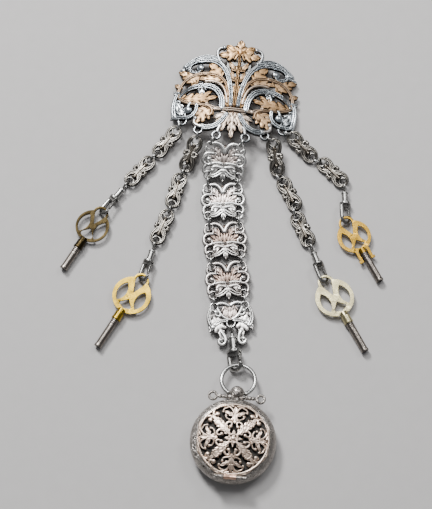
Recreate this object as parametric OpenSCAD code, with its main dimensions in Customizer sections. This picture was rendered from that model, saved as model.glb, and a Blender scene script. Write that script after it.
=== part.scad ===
// Chatelaine with an openwork plaque, a band of pierced panels, four chains with
// watch keys and a watch in a pierced case, lying as it is laid out on a table.
// X points right, Y away from the viewer, Z up from the table. Millimetres and degrees.

/* [Plaque] */
// Width of the plaque
plaque_w = 63; // [58:1:70]
// Thickness of the cast openwork
plaque_t = 1.2; // [1:0.1:1.4]
// Height of the raised stems over it
plaque_relief = 0.9; // [0.5:0.1:1.4]
// Radius of the plaque's curve from side to side
plaque_curve = 80; // [74:2:110]
// Tilt that lifts the plaque's lower edge
plaque_tilt = 3; // [2:0.5:4]

/* [Belt hook] */
// Width of the belt hook
hook_w = 12; // [10:1:16]
// Length of the tongue behind the plaque
hook_len = 35; // [32:1:40]
// Length of the flange soldered under the plaque
flange_len = 13; // [11:1:15]
// Thickness of the hook's strip
hook_t = 1; // [0.8:0.1:1.4]
// Gap for the belt at the hook's bend
belt_gap = 4.6; // [4.2:0.1:5.2]

/* [Band] */
// Width of a band panel
panel_w = 21.3; // [20:0.1:23]
// Height of a band panel between its rings' rims
panel_h = 19; // [18:0.1:20]
// Thickness of a panel
panel_t = 1.1; // [0.9:0.1:1.2]
// Height of a panel's raised ornament
panel_relief = 0.5; // [0.3:0.1:0.8]
// Wire of the band's jump rings
band_wire = 1.1; // [0.9:0.05:1.2]
// Metal between a panel's ring hole and its edge
panel_rim = 0.75; // [0.7:0.05:0.9]
// Space between two panels on their rings
panel_gap = 1.4; // [1.2:0.05:1.7]

/* [Chains] */
// Length of a scroll link
link_len = 19.5; // [18.5:0.25:20.5]
// Width of a scroll link
link_w = 7.2; // [6.6:0.2:7.8]
// Thickness of a scroll link
link_t = 1; // [0.8:0.1:1.1]
// Height of a link's raised scrolls
link_relief = 0.4; // [0.2:0.1:0.5]
// Metal between a link's ring hole and its end
link_rim = 0.9; // [0.8:0.05:1]
// Wire of the chains' jump rings
ring_wire = 1; // [0.8:0.05:1.1]
// Space between two links on their ring
link_gap = 0.8; // [0.6:0.05:1]
// Radius of the ring holes in links, panels and plaque
hole_r = 1.5; // [1.4:0.05:1.6]
// Clearance between a ring and the hole that it hangs in
hole_clear = 0.35; // [0.3:0.05:0.4]

/* [Swivels] */
// Length of a key swivel from its eye to its hook
swivel_len = 21; // [20:0.5:22]
// Length of the watch swivel from its eye to its hook
big_swivel_len = 23; // [22:0.5:25]
// Size of the watch swivel's fittings against a key swivel's
big_swivel_size = 1.25; // [1.1:0.05:1.3]
// Running clearance of swivel stems and gate pins
swivel_clear = 0.12; // [0.1:0.01:0.15]

/* [Keys] */
// Bow diameter of the two outer keys
small_bow_d = 16.5; // [15:0.5:18]
// Bow diameter of the two inner keys
large_bow_d = 18.7; // [17:0.1:20]
// Length of the outer keys
small_key_len = 37; // [34:0.5:40]
// Length of the inner keys
large_key_len = 42.5; // [38:0.5:46]
// Thickness of a key's bow
bow_t = 1.2; // [1:0.1:1.4]
// Metal between the ear's hole and its edge
ear_rim = 1.1; // [1:0.1:1.3]
// Clearance between a key's ear and the hook's wire
hook_clear = 1.25; // [1.1:0.05:1.3]
// Diameter of a key's pipe
pipe_d = 3.9; // [3.7:0.1:4.4]
// Side of the square bore in a pipe
bore_side = 1.7; // [1.4:0.1:1.8]

/* [Watch] */
// Diameter of the watch case
watch_d = 40.6; // [39:0.2:43]
// Thickness of the case with its closed cover
watch_t = 13; // [12:0.5:14]
// Width of the engraved rim around the cover
rim_w = 3.2; // [2.8:0.1:3.6]
// Height of the cover's dome over its edge
dome_h = 2.2; // [1.6:0.1:2.6]
// Thickness of the pierced cover
cover_t = 0.9; // [0.7:0.1:1]
// Mean radius of the watch bow
watch_bow_r = 8; // [7.4:0.1:8.6]
// Wire of the watch bow
watch_bow_wire = 1.9; // [1.5:0.1:2]
// Diameter of the pendant's ball
ball_d = 6.8; // [6.2:0.1:7.4]
// Length of the beaded bar between its loops
bar_len = 22.6; // [21:0.2:25]
// Diameter of the cover's hinge pin
hinge_pin_d = 0.9; // [0.7:0.1:1]
// Outer diameter of the hinge's knuckles
knuckle_d = 2.2; // [2:0.1:2.6]

/* [Hidden] */
$fn = 64;

// Place of the plaque's tie bar on the table, and the plaque's turn
plaque_at = [6.2, 74.9];
plaque_turn = -6.2;
// Turn of the watch and how far round its bow the hook holds it
watch_turn = -5;
bow_hold = 14;

// Route of the band: piece, heading, end height as a share of the lying height
BAND_ROUTE = [
    ["ring", -120, 3.1], ["panel", -95, 1.45], ["ring", -91, 1.2], ["panel", -88.5, 1.05],
    ["ring", -87, 1.05], ["panel", -87, 1.04], ["ring", -86, 1.04], ["panel", -86, 1],
    ["ring", -86, 1]
];
terminal_heading = -86;
watch_swivel_heading = -84;

// Routes of the chains: piece, heading, end height as a share of the lying height, roll.
// A swivel's roll is the way that its hook leans
LEFT_OUTER = [
    ["ring", -121, 1.7, 0], ["link", -129, 1, 0], ["ring", -134, 1, 0], ["link", -132, 1, 0],
    ["swivel", -129, 0, 1]
];
LEFT_INNER = [
    ["ring", -98, 2.8, 0], ["link", -112, 1, 0], ["ring", -120, 1, 0], ["link", -106, 1, 0],
    ["ring", -110, 1, 0], ["link", -112, 1, 0], ["swivel", -108, 0, 1]
];
RIGHT_INNER = [
    ["ring", -30, 2.65, 18], ["link", -81, 0.85, 14], ["ring", -62, 0.85, 45], ["link", -64, 0.87, 18],
    ["ring", -96, 0.87, 35], ["link", -66, 1, 16], ["swivel", -70, 0, -1]
];
RIGHT_OUTER = [
    ["ring", -20, 1.6, 18], ["link", -47, 0.85, 18], ["ring", -24, 0.85, 36], ["link", -46, 1, 18],
    ["swivel", -89, 0, -1]
];
// Headings of the keys as they lie
left_outer_key = -122;
left_inner_key = -122;
right_inner_key = -62;
right_outer_key = -62;

// Colours of the metals
silver = "#d4d6d6";
gilt = "#dcb98f";
steel = "#8e8f90";
pale_brass = "#d3c08a";
dark_bronze = "#5a4a35";

// Small numbers
skin = 0.01;
seat_gap = 0.15;

// Directions and frames
function aim(heading, drop = 0) =
    [cos(heading) * cos(drop), sin(heading) * cos(drop), -sin(drop)];
function side(heading) = [-sin(heading), cos(heading), 0];
function mid(a, b) = (a + b) / 2;
function last(list) = list[len(list) - 1];

// Sets children on a point, with X along a heading that drops, and a roll about it
module on_frame(p, heading, drop = 0, roll = 0) {
    translate(p) rotate([0, 0, heading]) rotate([0, drop, 0]) rotate([roll, 0, 0]) children();
}

// A rod along X between two places, and one whose radius changes
module rod(x0, x1, r0, r1 = undef) {
    translate([x0, 0, 0]) rotate([0, 90, 0])
        cylinder(h = x1 - x0, r1 = r0, r2 = is_undef(r1) ? r0 : r1);
}

// Points of a cubic curve from its four control points, and its direction
function curve(c, t) =
    pow(1 - t, 3) * c[0] + 3 * t * pow(1 - t, 2) * c[1] + 3 * t * t * (1 - t) * c[2] + t * t * t * c[3];
function curve_slope(c, t) =
    pow(1 - t, 2) * (c[1] - c[0]) + 2 * t * (1 - t) * (c[2] - c[1]) + t * t * (c[3] - c[2]);
function left_of(v) = [-v.y, v.x] / norm(v);

// A row of a stem table: four control points, widths at both ends, radius of the end's ball
module stem(row, unit, steps = 8) {
    c = [for (i = [0:3]) row[i] * unit];
    half = [for (i = [0:steps]) (row[4] + (row[5] - row[4]) * i / steps) * unit / 2];
    edge = [for (i = [0:steps]) left_of(curve_slope(c, i / steps)) * half[i]];
    polygon([
        for (i = [0:steps]) curve(c, i / steps) + edge[i],
        for (i = [steps:-1:0]) curve(c, i / steps) - edge[i]
    ]);
    translate(c[0]) circle(half[0], $fn = 14);
    translate(c[3]) circle(max(half[steps], row[6] * unit), $fn = 14);
}

// A row of a leaf table: base, tip, width, lobes on each side, sideways bend
function leaf_half(w, lobes, t) =
    w / 2 * pow(sin(180 * pow(t, 0.75)), 0.8) * (0.76 + 0.24 * abs(sin(180 * lobes * t)));
module leaf(row, unit) {
    base = row[0] * unit;
    tip = row[1] * unit;
    across = left_of(tip - base);
    steps = row[3] * 4;
    half = [for (i = [0:steps]) leaf_half(row[2] * unit, row[3], i / steps)];
    rib = [
        for (i = [0:steps])
            let (t = i / steps) base + (tip - base) * t + across * row[4] * unit * 4 * t * (1 - t)
    ];
    polygon([
        for (i = [0:steps]) rib[i] + across * max(half[i], skin),
        for (i = [steps:-1:0]) rib[i] - across * max(half[i], skin)
    ]);
}

module both_sides() {
    children();
    mirror([1, 0]) children();
}

// A drawn pattern as clean outlines
module clean() {
    offset(delta = skin) children();
}

// How far a ring's wire lies from the middle of its hole, and from the edge of the metal
function hole_shift(wire) = hole_r - hole_clear - wire / 2;
function inset(rim, wire) = rim + hole_clear + wire / 2;

// Spans between the points where rings pass
link_inset = inset(link_rim, ring_wire);
panel_inset = inset(panel_rim, band_wire);
link_span = link_len - 2 * link_inset;
panel_span = panel_h - 2 * panel_inset;
ring_span = 2 * link_inset + link_gap;
band_ring_span = 2 * panel_inset + panel_gap;
lie_z = (ring_span + ring_wire) / 2;
band_lie_z = (band_ring_span + band_wire) / 2;

// A jump ring on edge through two points
module jump_ring(a, b, wire, roll = 0) {
    v = b - a;
    span = norm(v);
    on_frame(mid(a, b), atan2(v.y, v.x), asin(-v.z / span), roll)
        rotate([90, 0, 0]) rotate_extrude() translate([span / 2, 0]) circle(d = wire);
}

// Plaque. Its tables are drawn for the right half, from the tie bar's middle, 64 units wide
plaque_unit = plaque_w / 64;
outer_eye = [25.5, -7.8] * plaque_unit;
inner_eye = [16.9, -12.6] * plaque_unit;
band_eye = [7.4, -15.4] * plaque_unit;
eye_rim = link_rim;

// Stems: control points, widths, ball
PLAQUE_STEMS = [
    [[1.6, 3], [2.6, 15], [5.5, 25.8], [14.5, 26.8], 2.2, 2.6, 0],
    [[14.5, 26.8], [20, 27.4], [25.6, 26], [25.2, 22.4], 2.6, 1.8, 0],
    [[25.2, 22.4], [24.6, 18.8], [18.6, 18.6], [18.8, 21.8], 1.8, 1.4, 1.7],
    [[5.6, 22], [12.3, 27.5], [13.6, 34.4], [8.4, 34.4], 1.2, 1.4, 1.1],
    [[9.5, 26.2], [15, 30.4], [21.6, 29.4], [28, 22.8], 1, 1.8, 0.9],
    [[3.6, 7], [4.6, 16.8], [10, 19], [16, 19], 1.4, 1.6, 0],
    [[16, 19], [24, 19], [29.5, 14], [29.5, 7.5], 1.6, 1.4, 0],
    [[29.5, 7.5], [29.3, 2.2], [20, 1.6], [14.5, 1], 1.4, 1.6, 0],
    [[14.5, 1], [11, 0.4], [9.4, -3.4], [12.6, -5], 1.6, 1.2, 0],
    [[5.4, 0], [5.6, 9.2], [11, 12], [17, 11.8], 2.6, 2.4, 0],
    [[17, 11.8], [22, 11.6], [26, 9.6], [28.6, 5.4], 2.4, 1.4, 0],
    [[4, 3], [5, 13.4], [10, 15], [16, 13.6], 1.2, 1.6, 0],
    [[0, 2], [0, 10], [0, 20], [0, 31], 2, 1.5, 0],
    [[19, 1.4], [17.8, -5.6], [24, -7.8], [29.7, -5.4], 1.7, 2, 0],
    [[29.6, 8], [32.2, 4.4], [31.8, -1], [30.6, -4.6], 1.6, 2.2, 1.1],
    [[3, -3.6], [6, -9.6], [10, -13], [16, -11.2], 2.2, 2.6, 0],
    [[22.6, 2], [23, 1], [23, 0], [22.8, -1.2], 1.6, 1.6, 1.9],
    [[16, -11.2], [18.6, -10.4], [20.4, -9], [19, -6.8], 1.6, 1.2, 1],
    [[9.4, -1], [11, 0], [12.4, 0.8], [14.5, 1], 1.8, 1.6, 0],
    [[6.1, -10.3], [6.4, -11], [6.8, -12], [7, -13.4], 2.3, 2, 0]
];
// Leaves: base, tip, width, lobes, bend
PLAQUE_LEAVES = [
    [[0.8, 31.4], [10.6, 31.6], 6.8, 3, -0.6],
    [[0.2, 22.4], [4.8, 26.2], 2.8, 2, -0.4],
    [[8, 18.2], [14.4, 26.4], 8.4, 3, 0],
    [[6, 15.6], [19, 15.8], 4.2, 4, 0.4],
    [[20, 12.6], [29.6, 20.4], 6.2, 4, 0.4],
    [[17.6, 12], [17, 6.8], 4.8, 2, 0],
    [[28.4, 5.4], [9.4, 5.4], 6.2, 5, 0.5],
    [[15, 4.6], [13.6, 0.8], 2.6, 2, 0],
    [[3.4, 1], [5.4, 14.4], 4.6, 3, 0.2],
    [[11, -0.6], [19.4, -9.6], 8.8, 4, 0.6],
    [[29, 6], [32, 9.6], 2.4, 2, 0],
    [[28, 11], [31.6, 13.4], 3, 2, 0],
    [[0.8, -2], [5.2, -13], 4.2, 3, 0],
    [[2.6, -2.4], [8.6, -6.8], 3, 2, 0],
    [[28.6, -4.2], [31.8, -6.8], 2.2, 2, 0],
    [[26, 23], [30.6, 20.6], 2.2, 2, 0],
    [[30.4, 4.4], [24.4, -3.6], 5, 3, 0.6],
    [[24, -6], [29.6, -1], 3.6, 2, 0]
];
PLAQUE_MIDDLE = [
    [[0, 29.6], [0, 39.6], 6.6, 3, 0],
    [[0, 1.4], [0, 14], 6.6, 3, 0],
    [[0, -1.6], [0, -17.4], 5.2, 3, 0]
];
// Tie bar: half length, upper and lower edge. Drop hole: place and radius
tie_bar = [9.4, 0.5, -2.1];
drop_hole = [[0, -6], 0.75];

module plaque_eyes(r) {
    both_sides() for (eye = [outer_eye, inner_eye, band_eye]) translate(eye) circle(r, $fn = 24);
}

module plaque_ornament() {
    both_sides() {
        for (row = PLAQUE_STEMS) stem(row, plaque_unit);
        for (row = PLAQUE_LEAVES) leaf(row, plaque_unit);
    }
    for (row = PLAQUE_MIDDLE) leaf(row, plaque_unit);
    scale(plaque_unit)
        translate([-tie_bar[0], tie_bar[2]]) square([2 * tie_bar[0], tie_bar[1] - tie_bar[2]]);
}

// Ridge along the middle of each main stem
ridge_share = 0.55;
main_stem_w = 1.3;
function ridge(row) = [row[0], row[1], row[2], row[3], row[4] * ridge_share, row[5] * ridge_share, 0];
module plaque_raised() {
    both_sides() for (row = PLAQUE_STEMS) if (row[4] > main_stem_w) stem(ridge(row), plaque_unit, 6);
}

// Shell of the plaque's curve between two heights over its underside
module plaque_shell(low, high) {
    span = plaque_w * 2;
    translate([0, 0, -plaque_curve]) rotate([90, 0, 0]) difference() {
        cylinder(r = plaque_curve + high, h = span, center = true, $fn = 360);
        cylinder(r = plaque_curve + low, h = span + 2, center = true, $fn = 360);
    }
}

// Height of the underside at the tie bar, so that the hook's tongue lies on the table
hook_bend = 27 * plaque_unit;
function plaque_sag(x) = plaque_curve - sqrt(pow(plaque_curve, 2) - x * x);
plaque_z = 2 * hook_t + belt_gap + seat_gap + plaque_sag(hook_w / 2) + hook_bend * sin(plaque_tilt);

module on_plaque() {
    translate([plaque_at.x, plaque_at.y, plaque_z])
        rotate([0, 0, plaque_turn]) rotate([-plaque_tilt, 0, 0]) children();
}

// Table position of a point of the plaque, at half the thickness of its openwork
function plaque_point(q) =
    let (z = plaque_t / 2 - plaque_sag(q.x),
         y = q.y * cos(plaque_tilt) + z * sin(plaque_tilt),
         up = z * cos(plaque_tilt) - q.y * sin(plaque_tilt))
    [
        plaque_at.x + q.x * cos(plaque_turn) - y * sin(plaque_turn),
        plaque_at.y + q.x * sin(plaque_turn) + y * cos(plaque_turn),
        plaque_z + up
    ];

module plaque() {
    deep = plaque_w / 4;
    color(gilt) on_plaque() {
        intersection() {
            translate([0, 0, -deep]) linear_extrude(deep * 2) clean() difference() {
                union() {
                    plaque_ornament();
                    plaque_eyes(hole_r + eye_rim);
                }
                plaque_eyes(hole_r);
                translate(drop_hole[0] * plaque_unit) circle(drop_hole[1] * plaque_unit, $fn = 16);
            }
            plaque_shell(0, plaque_t);
        }
        intersection() {
            translate([0, 0, -deep]) linear_extrude(deep * 2) clean() plaque_raised();
            plaque_shell(plaque_t / 2, plaque_t + plaque_relief);
        }
    }
}

// Belt hook: a strip soldered under the plaque, bent round at the top, its tongue on the table
module belt_hook() {
    bend_z = 2 * hook_t + belt_gap;
    rise = tan(plaque_tilt);
    color(gilt) translate([plaque_at.x, plaque_at.y, 0]) rotate([0, 0, plaque_turn])
        rotate([90, 0, 90]) translate([hook_bend, 0, -hook_w / 2]) linear_extrude(hook_w) {
            polygon([
                [0, bend_z], [-flange_len, bend_z + flange_len * rise],
                [-flange_len, bend_z + flange_len * rise - hook_t], [0, bend_z - hook_t]
            ]);
            translate([-hook_len, 0]) square([hook_len, hook_t]);
            translate([0, bend_z / 2]) difference() {
                circle(d = bend_z);
                circle(d = bend_z - 2 * hook_t);
                translate([-bend_z, -bend_z]) square([bend_z, 2 * bend_z]);
            }
        }
}

// Band frames: start, end, heading and drop of each piece
band_eye_x = (panel_w - 2 * (hole_r + panel_rim)) / 2 - 1;
function walk_band(p, i = 0) =
    i == len(BAND_ROUTE) ? [] :
    let (row = BAND_ROUTE[i],
         span = row[0] == "ring" ? band_ring_span : panel_span,
         drop = asin((p.z - row[2] * band_lie_z) / span),
         q = p + span * aim(row[1], drop))
    concat([[p, q, row[1], drop]], walk_band(q, i + 1));
plaque_band_eyes = [
    for (s = [-1, 1])
        plaque_point([s * band_eye.x, band_eye.y]) + hole_shift(band_wire) * aim(BAND_ROUTE[0][1])
];
BAND = walk_band(mid(plaque_band_eyes[0], plaque_band_eyes[1]));
terminal_top = last(BAND)[1];

// Points where the rings pass on both sides of a piece's upper or lower end
function band_points(p, heading) = [for (s = [-1, 1]) p + s * band_eye_x * side(heading)];
function band_ring_start(i) =
    i == 1 ? plaque_band_eyes : band_points(BAND[2 * i - 3][1], BAND[2 * i - 3][2]);
function band_ring_end(i) =
    i == 5 ? band_points(terminal_top, terminal_heading)
           : band_points(BAND[2 * i - 1][0], BAND[2 * i - 1][2]);

module band_rings(i) {
    color(silver) for (s = [0, 1]) jump_ring(band_ring_start(i)[s], band_ring_end(i)[s], band_wire);
}

// Panel tables: right half, Y up from the panel's middle, 21.3 units wide
panel_unit = panel_w / 21.3;
panel_eye = [band_eye_x, panel_span / 2 - hole_shift(band_wire)];
PANEL_STEMS = [
    [[5.6, 3.4], [11.4, 4.8], [12, -2], [7.8, -2.2], 1.3, 1.2, 0],
    [[7.8, -2.2], [5.6, -2], [5.8, 0.4], [7.4, 0.5], 1.2, 1, 1.1],
    [[0.3, 4.6], [1.5, 8.6], [4, 9.8], [6.4, 8.4], 1.6, 1.7, 0],
    [[9.2, 6.2], [10.2, 5], [9.6, 3.8], [8.4, 3.2], 1, 1, 0],
    [[8, -2.2], [10.4, -3], [10.6, -5.4], [9.2, -6.4], 1.1, 1.2, 0],
    [[0.4, -5], [2.4, -6.4], [4, -8.4], [6.4, -7.6], 2.2, 1.5, 0],
    [[1, -3.4], [4, -2.4], [6, -3], [5.4, -5], 1.4, 1.1, 0.9],
    [[1.4, -1.4], [3.6, -0.8], [5.6, -1.4], [7.8, -2.2], 1.3, 1.2, 0]
];
PANEL_LEAVES = [
    [[0.8, -2.6], [3.6, 6.4], 3, 2, -0.3],
    [[1.4, -2], [6.6, 4.2], 2.8, 2, -0.3],
    [[3.2, 3.4], [5.4, 6.4], 2, 1, 0]
];
PANEL_MIDDLE = [
    [[0, -3], [0, 8.2], 3.4, 3, 0],
    [[0, -1.8], [0, -10.6], 4.8, 3, 0]
];
panel_drop_hole = [[0, -0.6], 0.7];

module panel_eyes(r, ends = [-1, 1]) {
    both_sides() for (s = ends) translate([panel_eye.x, s * panel_eye.y]) circle(r, $fn = 24);
}

module ornament(stems, leaves, middle, unit) {
    both_sides() {
        for (row = stems) stem(row, unit, 6);
        for (row = leaves) leaf(row, unit);
    }
    for (row = middle) leaf(row, unit);
}

module panel_face() {
    ornament(PANEL_STEMS, PANEL_LEAVES, PANEL_MIDDLE, panel_unit);
}

module panel_hole() {
    translate(panel_drop_hole[0] * panel_unit) circle(panel_drop_hole[1] * panel_unit, $fn = 12);
}

// Sets a panel or the terminal on its frame, its Y axis up the band and half its thickness on each side
module on_band(p, heading, drop, span) {
    on_frame(p, heading, drop) translate([span / 2, 0, -panel_t / 2]) rotate([0, 0, 90]) children();
}

module band_panel(i) {
    at = BAND[2 * i - 1];
    color(silver) on_band(at[0], at[2], at[3], panel_span) {
        linear_extrude(panel_t) clean() difference() {
            union() {
                panel_face();
                panel_eyes(hole_r + panel_rim);
            }
            panel_eyes(hole_r);
            panel_hole();
        }
        translate([0, 0, panel_t / 2]) linear_extrude(panel_t / 2 + panel_relief) clean() difference() {
            panel_face();
            panel_eyes(hole_r + panel_rim);
            panel_hole();
        }
    }
}

// Terminal tables: right half, in the same units, with its top eyes where a panel has them
TERMINAL_STEMS = [
    [[9.2, 6.2], [11.2, 3], [10.8, -1], [8.6, -3], 1.3, 2.4, 0],
    [[4.6, -6], [2.6, -8], [2.2, -12.6], [5.2, -11.8], 1.8, 1.3, 0],
    [[5.2, -11.8], [7.2, -11.2], [6.8, -9.4], [5.6, -9.6], 1.3, 1.1, 1.1],
    [[6.4, 7.6], [5.2, 3.6], [3.6, 1.6], [1, 0.4], 1.3, 1.3, 0],
    [[1.6, -0.4], [4, 0.2], [6, -0.8], [7.6, -2], 1.4, 1.8, 0],
    [[4.6, 2.6], [6, 2], [7.6, 2.6], [6.8, 4.4], 1.2, 1, 1],
    [[0.6, 7.4], [2.4, 9.2], [4.4, 9.4], [6.2, 8], 1.4, 1.5, 0]
];
TERMINAL_LEAVES = [
    [[9, 3.6], [4, -9.4], 8.6, 4, -0.8],
    [[2.3, 7.4], [2.3, 0.6], 3.4, 1, 0],
    [[8, 0.4], [10.6, -5.6], 3.4, 2, 0]
];
TERMINAL_MIDDLE = [
    [[0, -0.8], [0, 9.6], 4, 3, 0]
];
terminal_eye = [0, -1.4] * panel_unit;
terminal_drop = terminal_eye.y - hole_shift(ring_wire);
terminal_hole = [[2.3, 3.8], 0.6];

module band_terminal() {
    at = [terminal_top, terminal_heading];
    color(silver) on_band(at[0], at[1], 0, panel_span) {
        linear_extrude(panel_t) clean() difference() {
            union() {
                ornament(TERMINAL_STEMS, TERMINAL_LEAVES, TERMINAL_MIDDLE, panel_unit);
                panel_eyes(hole_r + panel_rim, [1]);
                translate(terminal_eye) circle(hole_r + link_rim, $fn = 24);
            }
            panel_eyes(hole_r, [1]);
            translate(terminal_eye) circle(hole_r, $fn = 24);
            both_sides() translate(terminal_hole[0] * panel_unit) circle(terminal_hole[1] * panel_unit, $fn = 12);
        }
        translate([0, 0, panel_t / 2]) linear_extrude(panel_t / 2 + panel_relief) clean() difference() {
            both_sides() for (row = TERMINAL_STEMS) stem(ridge(row), panel_unit, 6);
            panel_eyes(hole_r + panel_rim, [1]);
            translate(terminal_eye) circle(hole_r + link_rim, $fn = 24);
        }
    }
}

// Link tables: one half of one end, X along the link from its middle, Y across, 18 by 7.2 units
LINK_STEMS = [
    [[8.5, 0], [8.5, 4], [3.6, 4.2], [0.4, 0.6], 1, 1.4, 0],
    [[0.6, 0.2], [1.6, 1.2], [1, 3.6], [-0.6, 2.9], 1.2, 0.9, 0.75],
    [[0.4, 0], [1.6, 0], [2.6, 0], [4, 0], 2, 0.9, 0.7],
    [[1.2, 0.4], [2.6, 0.6], [3.4, 1.4], [4, 2.6], 0.9, 0.7, 0]
];
link_unit = [link_len / 18, link_w / 7.2];
link_hole = link_len / 2 - link_rim - hole_r;

module link_outline() {
    for (turn = [0, 180], flip = [0, 1])
        rotate(turn) mirror([0, flip]) scale(link_unit) for (row = LINK_STEMS) stem(row, 1, 6);
}

module link_holes(r) {
    for (s = [-1, 1]) translate([s * link_hole, 0]) circle(r, $fn = 24);
}

module scroll_link(chain, i) {
    at = chain[2 * i - 1];
    color(silver) on_frame(at[0], at[2], at[3], at[4]) translate([link_span / 2, 0, -link_t / 2]) {
        linear_extrude(link_t) clean() difference() {
            union() {
                link_outline();
                link_holes(hole_r + link_rim);
            }
            link_holes(hole_r);
        }
        translate([0, 0, link_t / 2]) linear_extrude(link_t / 2 + link_relief) clean() difference() {
            link_outline();
            link_holes(hole_r + link_rim);
        }
    }
}

// Chain frames: start, end, heading, drop and roll of each piece
function walk_chain(p, rows, i = 0) =
    i == len(rows) ? [] :
    let (row = rows[i],
         swivel = row[0] == "swivel",
         span = swivel ? swivel_len : row[0] == "ring" ? ring_span : link_span,
         z = swivel ? key_z : row[2] * lie_z,
         drop = asin((p.z - z) / span),
         q = p + span * aim(row[1], drop))
    concat([[p, q, row[1], drop, swivel ? row[3] * swivel_roll : row[3]]], walk_chain(q, rows, i + 1));
function chain_from(eye, s, rows) =
    walk_chain(plaque_point([s * eye.x, eye.y]) + hole_shift(ring_wire) * aim(rows[0][1]), rows);

// Swivel fittings of a key swivel, from the point where its eye passes the last hole
stem_r = 0.6;
head_r = 0.95;
head_x = 7.8;
head_len = 0.7;
barrel_x = 5.4;
barrel_r = 1.45;
collar_x = 10.6;
collar_r = 2.6;
disc_len = 0.9;
loop_r = 2.7;
loop_wire = 1.6;
arm_r = 0.95;
block_y = 2.9;
swivel_roll = 42;
gate_x = 12.7;
gate_y = 2;
gate_w = 1.2;
gate_t = 1;
gate_pin_r = 0.35;
gate_knuckle_r = 0.85;
cheek_t = 0.5;
tip_turn = 78;
arm_lap = 6;
tip_ball = 1.8;

key_z = loop_r * sin(swivel_roll) + arm_r + 0.1;
left_outer = chain_from(outer_eye, -1, LEFT_OUTER);
left_inner = chain_from(inner_eye, -1, LEFT_INNER);
right_inner = chain_from(inner_eye, 1, RIGHT_INNER);
right_outer = chain_from(outer_eye, 1, RIGHT_OUTER);

module chain_ring(chain, i) {
    at = chain[2 * i - 2];
    color(silver) jump_ring(at[0], at[1], ring_wire, at[4]);
}

// Watch swivel, from the terminal's eye to the watch bow
watch_loop_z = (loop_r * sin(swivel_roll) + arm_r) * big_swivel_size + 0.4;
watch_eye_at = terminal_top + (panel_span / 2 - terminal_drop) * aim(terminal_heading);
watch_drop = asin((watch_eye_at.z - watch_loop_z) / big_swivel_len);
watch_swivel = [
    watch_eye_at, watch_eye_at + big_swivel_len * aim(watch_swivel_heading, watch_drop),
    watch_swivel_heading, watch_drop, swivel_roll
];

// Eye ring on edge through the hole, with a stem that is headed inside the barrel
module swivel_eye(at, k) {
    color(silver) {
        jump_ring(at[0], at[0] + ring_span * aim(at[2], at[3]), ring_wire);
        on_frame(at[0], at[2], at[3]) {
            rod(ring_span + ring_wire / 4, (head_x + head_len) * k, stem_r * k);
            rod(head_x * k, (head_x + head_len) * k, head_r * k);
        }
    }
}

module swivel_clip(at, k, span) {
    loop_x = span - loop_r * k;
    color(silver) on_frame(at[0], at[2], at[3], at[4]) difference() {
        union() {
            rod(barrel_x * k, (collar_x - 0.6) * k, barrel_r * k);
            rod(barrel_x * k, (barrel_x + 0.5) * k, (barrel_r + 0.3) * k);
            rod((collar_x - 0.6) * k, collar_x * k, barrel_r * k, collar_r * k);
            rod(collar_x * k, (collar_x + disc_len) * k, collar_r * k);
            // Block and fixed arm
            translate([collar_x + 0.2, -block_y, -arm_r] * k) cube([1.9, block_y + 0.8, 2 * arm_r] * k);
            translate([0, -loop_r * k, 0]) rod((gate_x - 0.4) * k, loop_x, arm_r * k);
            // Round end and tip
            translate([loop_x, 0, 0]) rotate([0, 0, -90 - arm_lap]) rotate_extrude(angle = 90 + arm_lap + tip_turn)
                translate([loop_r * k, 0]) circle(d = loop_wire * k);
            translate([loop_x + loop_r * k * cos(tip_turn), loop_r * k * sin(tip_turn), 0])
                sphere(d = tip_ball * k);
            // Cheeks that carry the gate's pin
            for (s = [-1, 1]) translate([0, 0, s * (gate_t / 2 + swivel_clear + cheek_t / 2) * k]) {
                translate([gate_x, gate_y, 0] * k)
                    cylinder(h = cheek_t * k, r = gate_knuckle_r * k, center = true);
                translate([(collar_x + 0.2 + gate_x) / 2, gate_y, 0] * k)
                    cube([gate_x - collar_x - 0.2, 2 * gate_knuckle_r, cheek_t] * k, center = true);
            }
            translate([gate_x, gate_y, 0] * k)
                cylinder(h = (gate_t + 2 * cheek_t) * k, r = gate_pin_r * k, center = true);
        }
        rod((barrel_x - 1) * k, (head_x - 0.3) * k, stem_r * k + swivel_clear);
        rod((head_x - 0.3) * k, (head_x + head_len + 0.3) * k, head_r * k + swivel_clear);
    }
}

// Sprung gate that closes the hook against the inside of its tip
module swivel_gate(at, k, span) {
    loop_x = span - loop_r * k;
    reach = loop_x - tip_ball * k / 3 - swivel_clear - gate_x * k;
    lean = atan2((loop_r * sin(tip_turn) - gate_y - 0.1) * k, reach);
    color(silver) on_frame(at[0], at[2], at[3], at[4]) translate([gate_x, gate_y, 0] * k) difference() {
        union() {
            cylinder(h = gate_t * k, r = (gate_knuckle_r - 0.02) * k, center = true);
            rotate([0, 0, lean]) translate([0, -gate_w * k / 2, -gate_t * k / 2])
                cube([reach, gate_w * k, gate_t * k]);
        }
        cylinder(h = gate_t * k + 1, r = gate_pin_r * k + swivel_clear, center = true);
    }
}

// Keys, from the point where the hook passes the ear's hole, X along the key
ear_hole_r = 2.8;
ear_edge = -(ear_rim + hook_clear + loop_wire / 2);
ear_x = ear_edge + ear_rim + ear_hole_r;
ear_out = 3;
socket_r = 2.2;
socket_len = 5;
fork_len = 1.4;
fork_w = 1.3;
fork_gap = 0.25;
tenon_r = 1.2;
tenon_len = 1.8;
bore_len = 7;
function bow_x(bow_d) = ear_edge + ear_out + bow_d / 2;
function neck_len(forked) = forked ? fork_len : socket_len;
function key_drop(key_len) = asin((key_z - pipe_d / 2 - seat_gap) / (key_len + ear_edge));

module lens(l, w) {
    r = (l * l + w * w) / (4 * w);
    intersection() {
        translate([0, r - w / 2]) circle(r);
        translate([0, w / 2 - r]) circle(r);
    }
}

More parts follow.
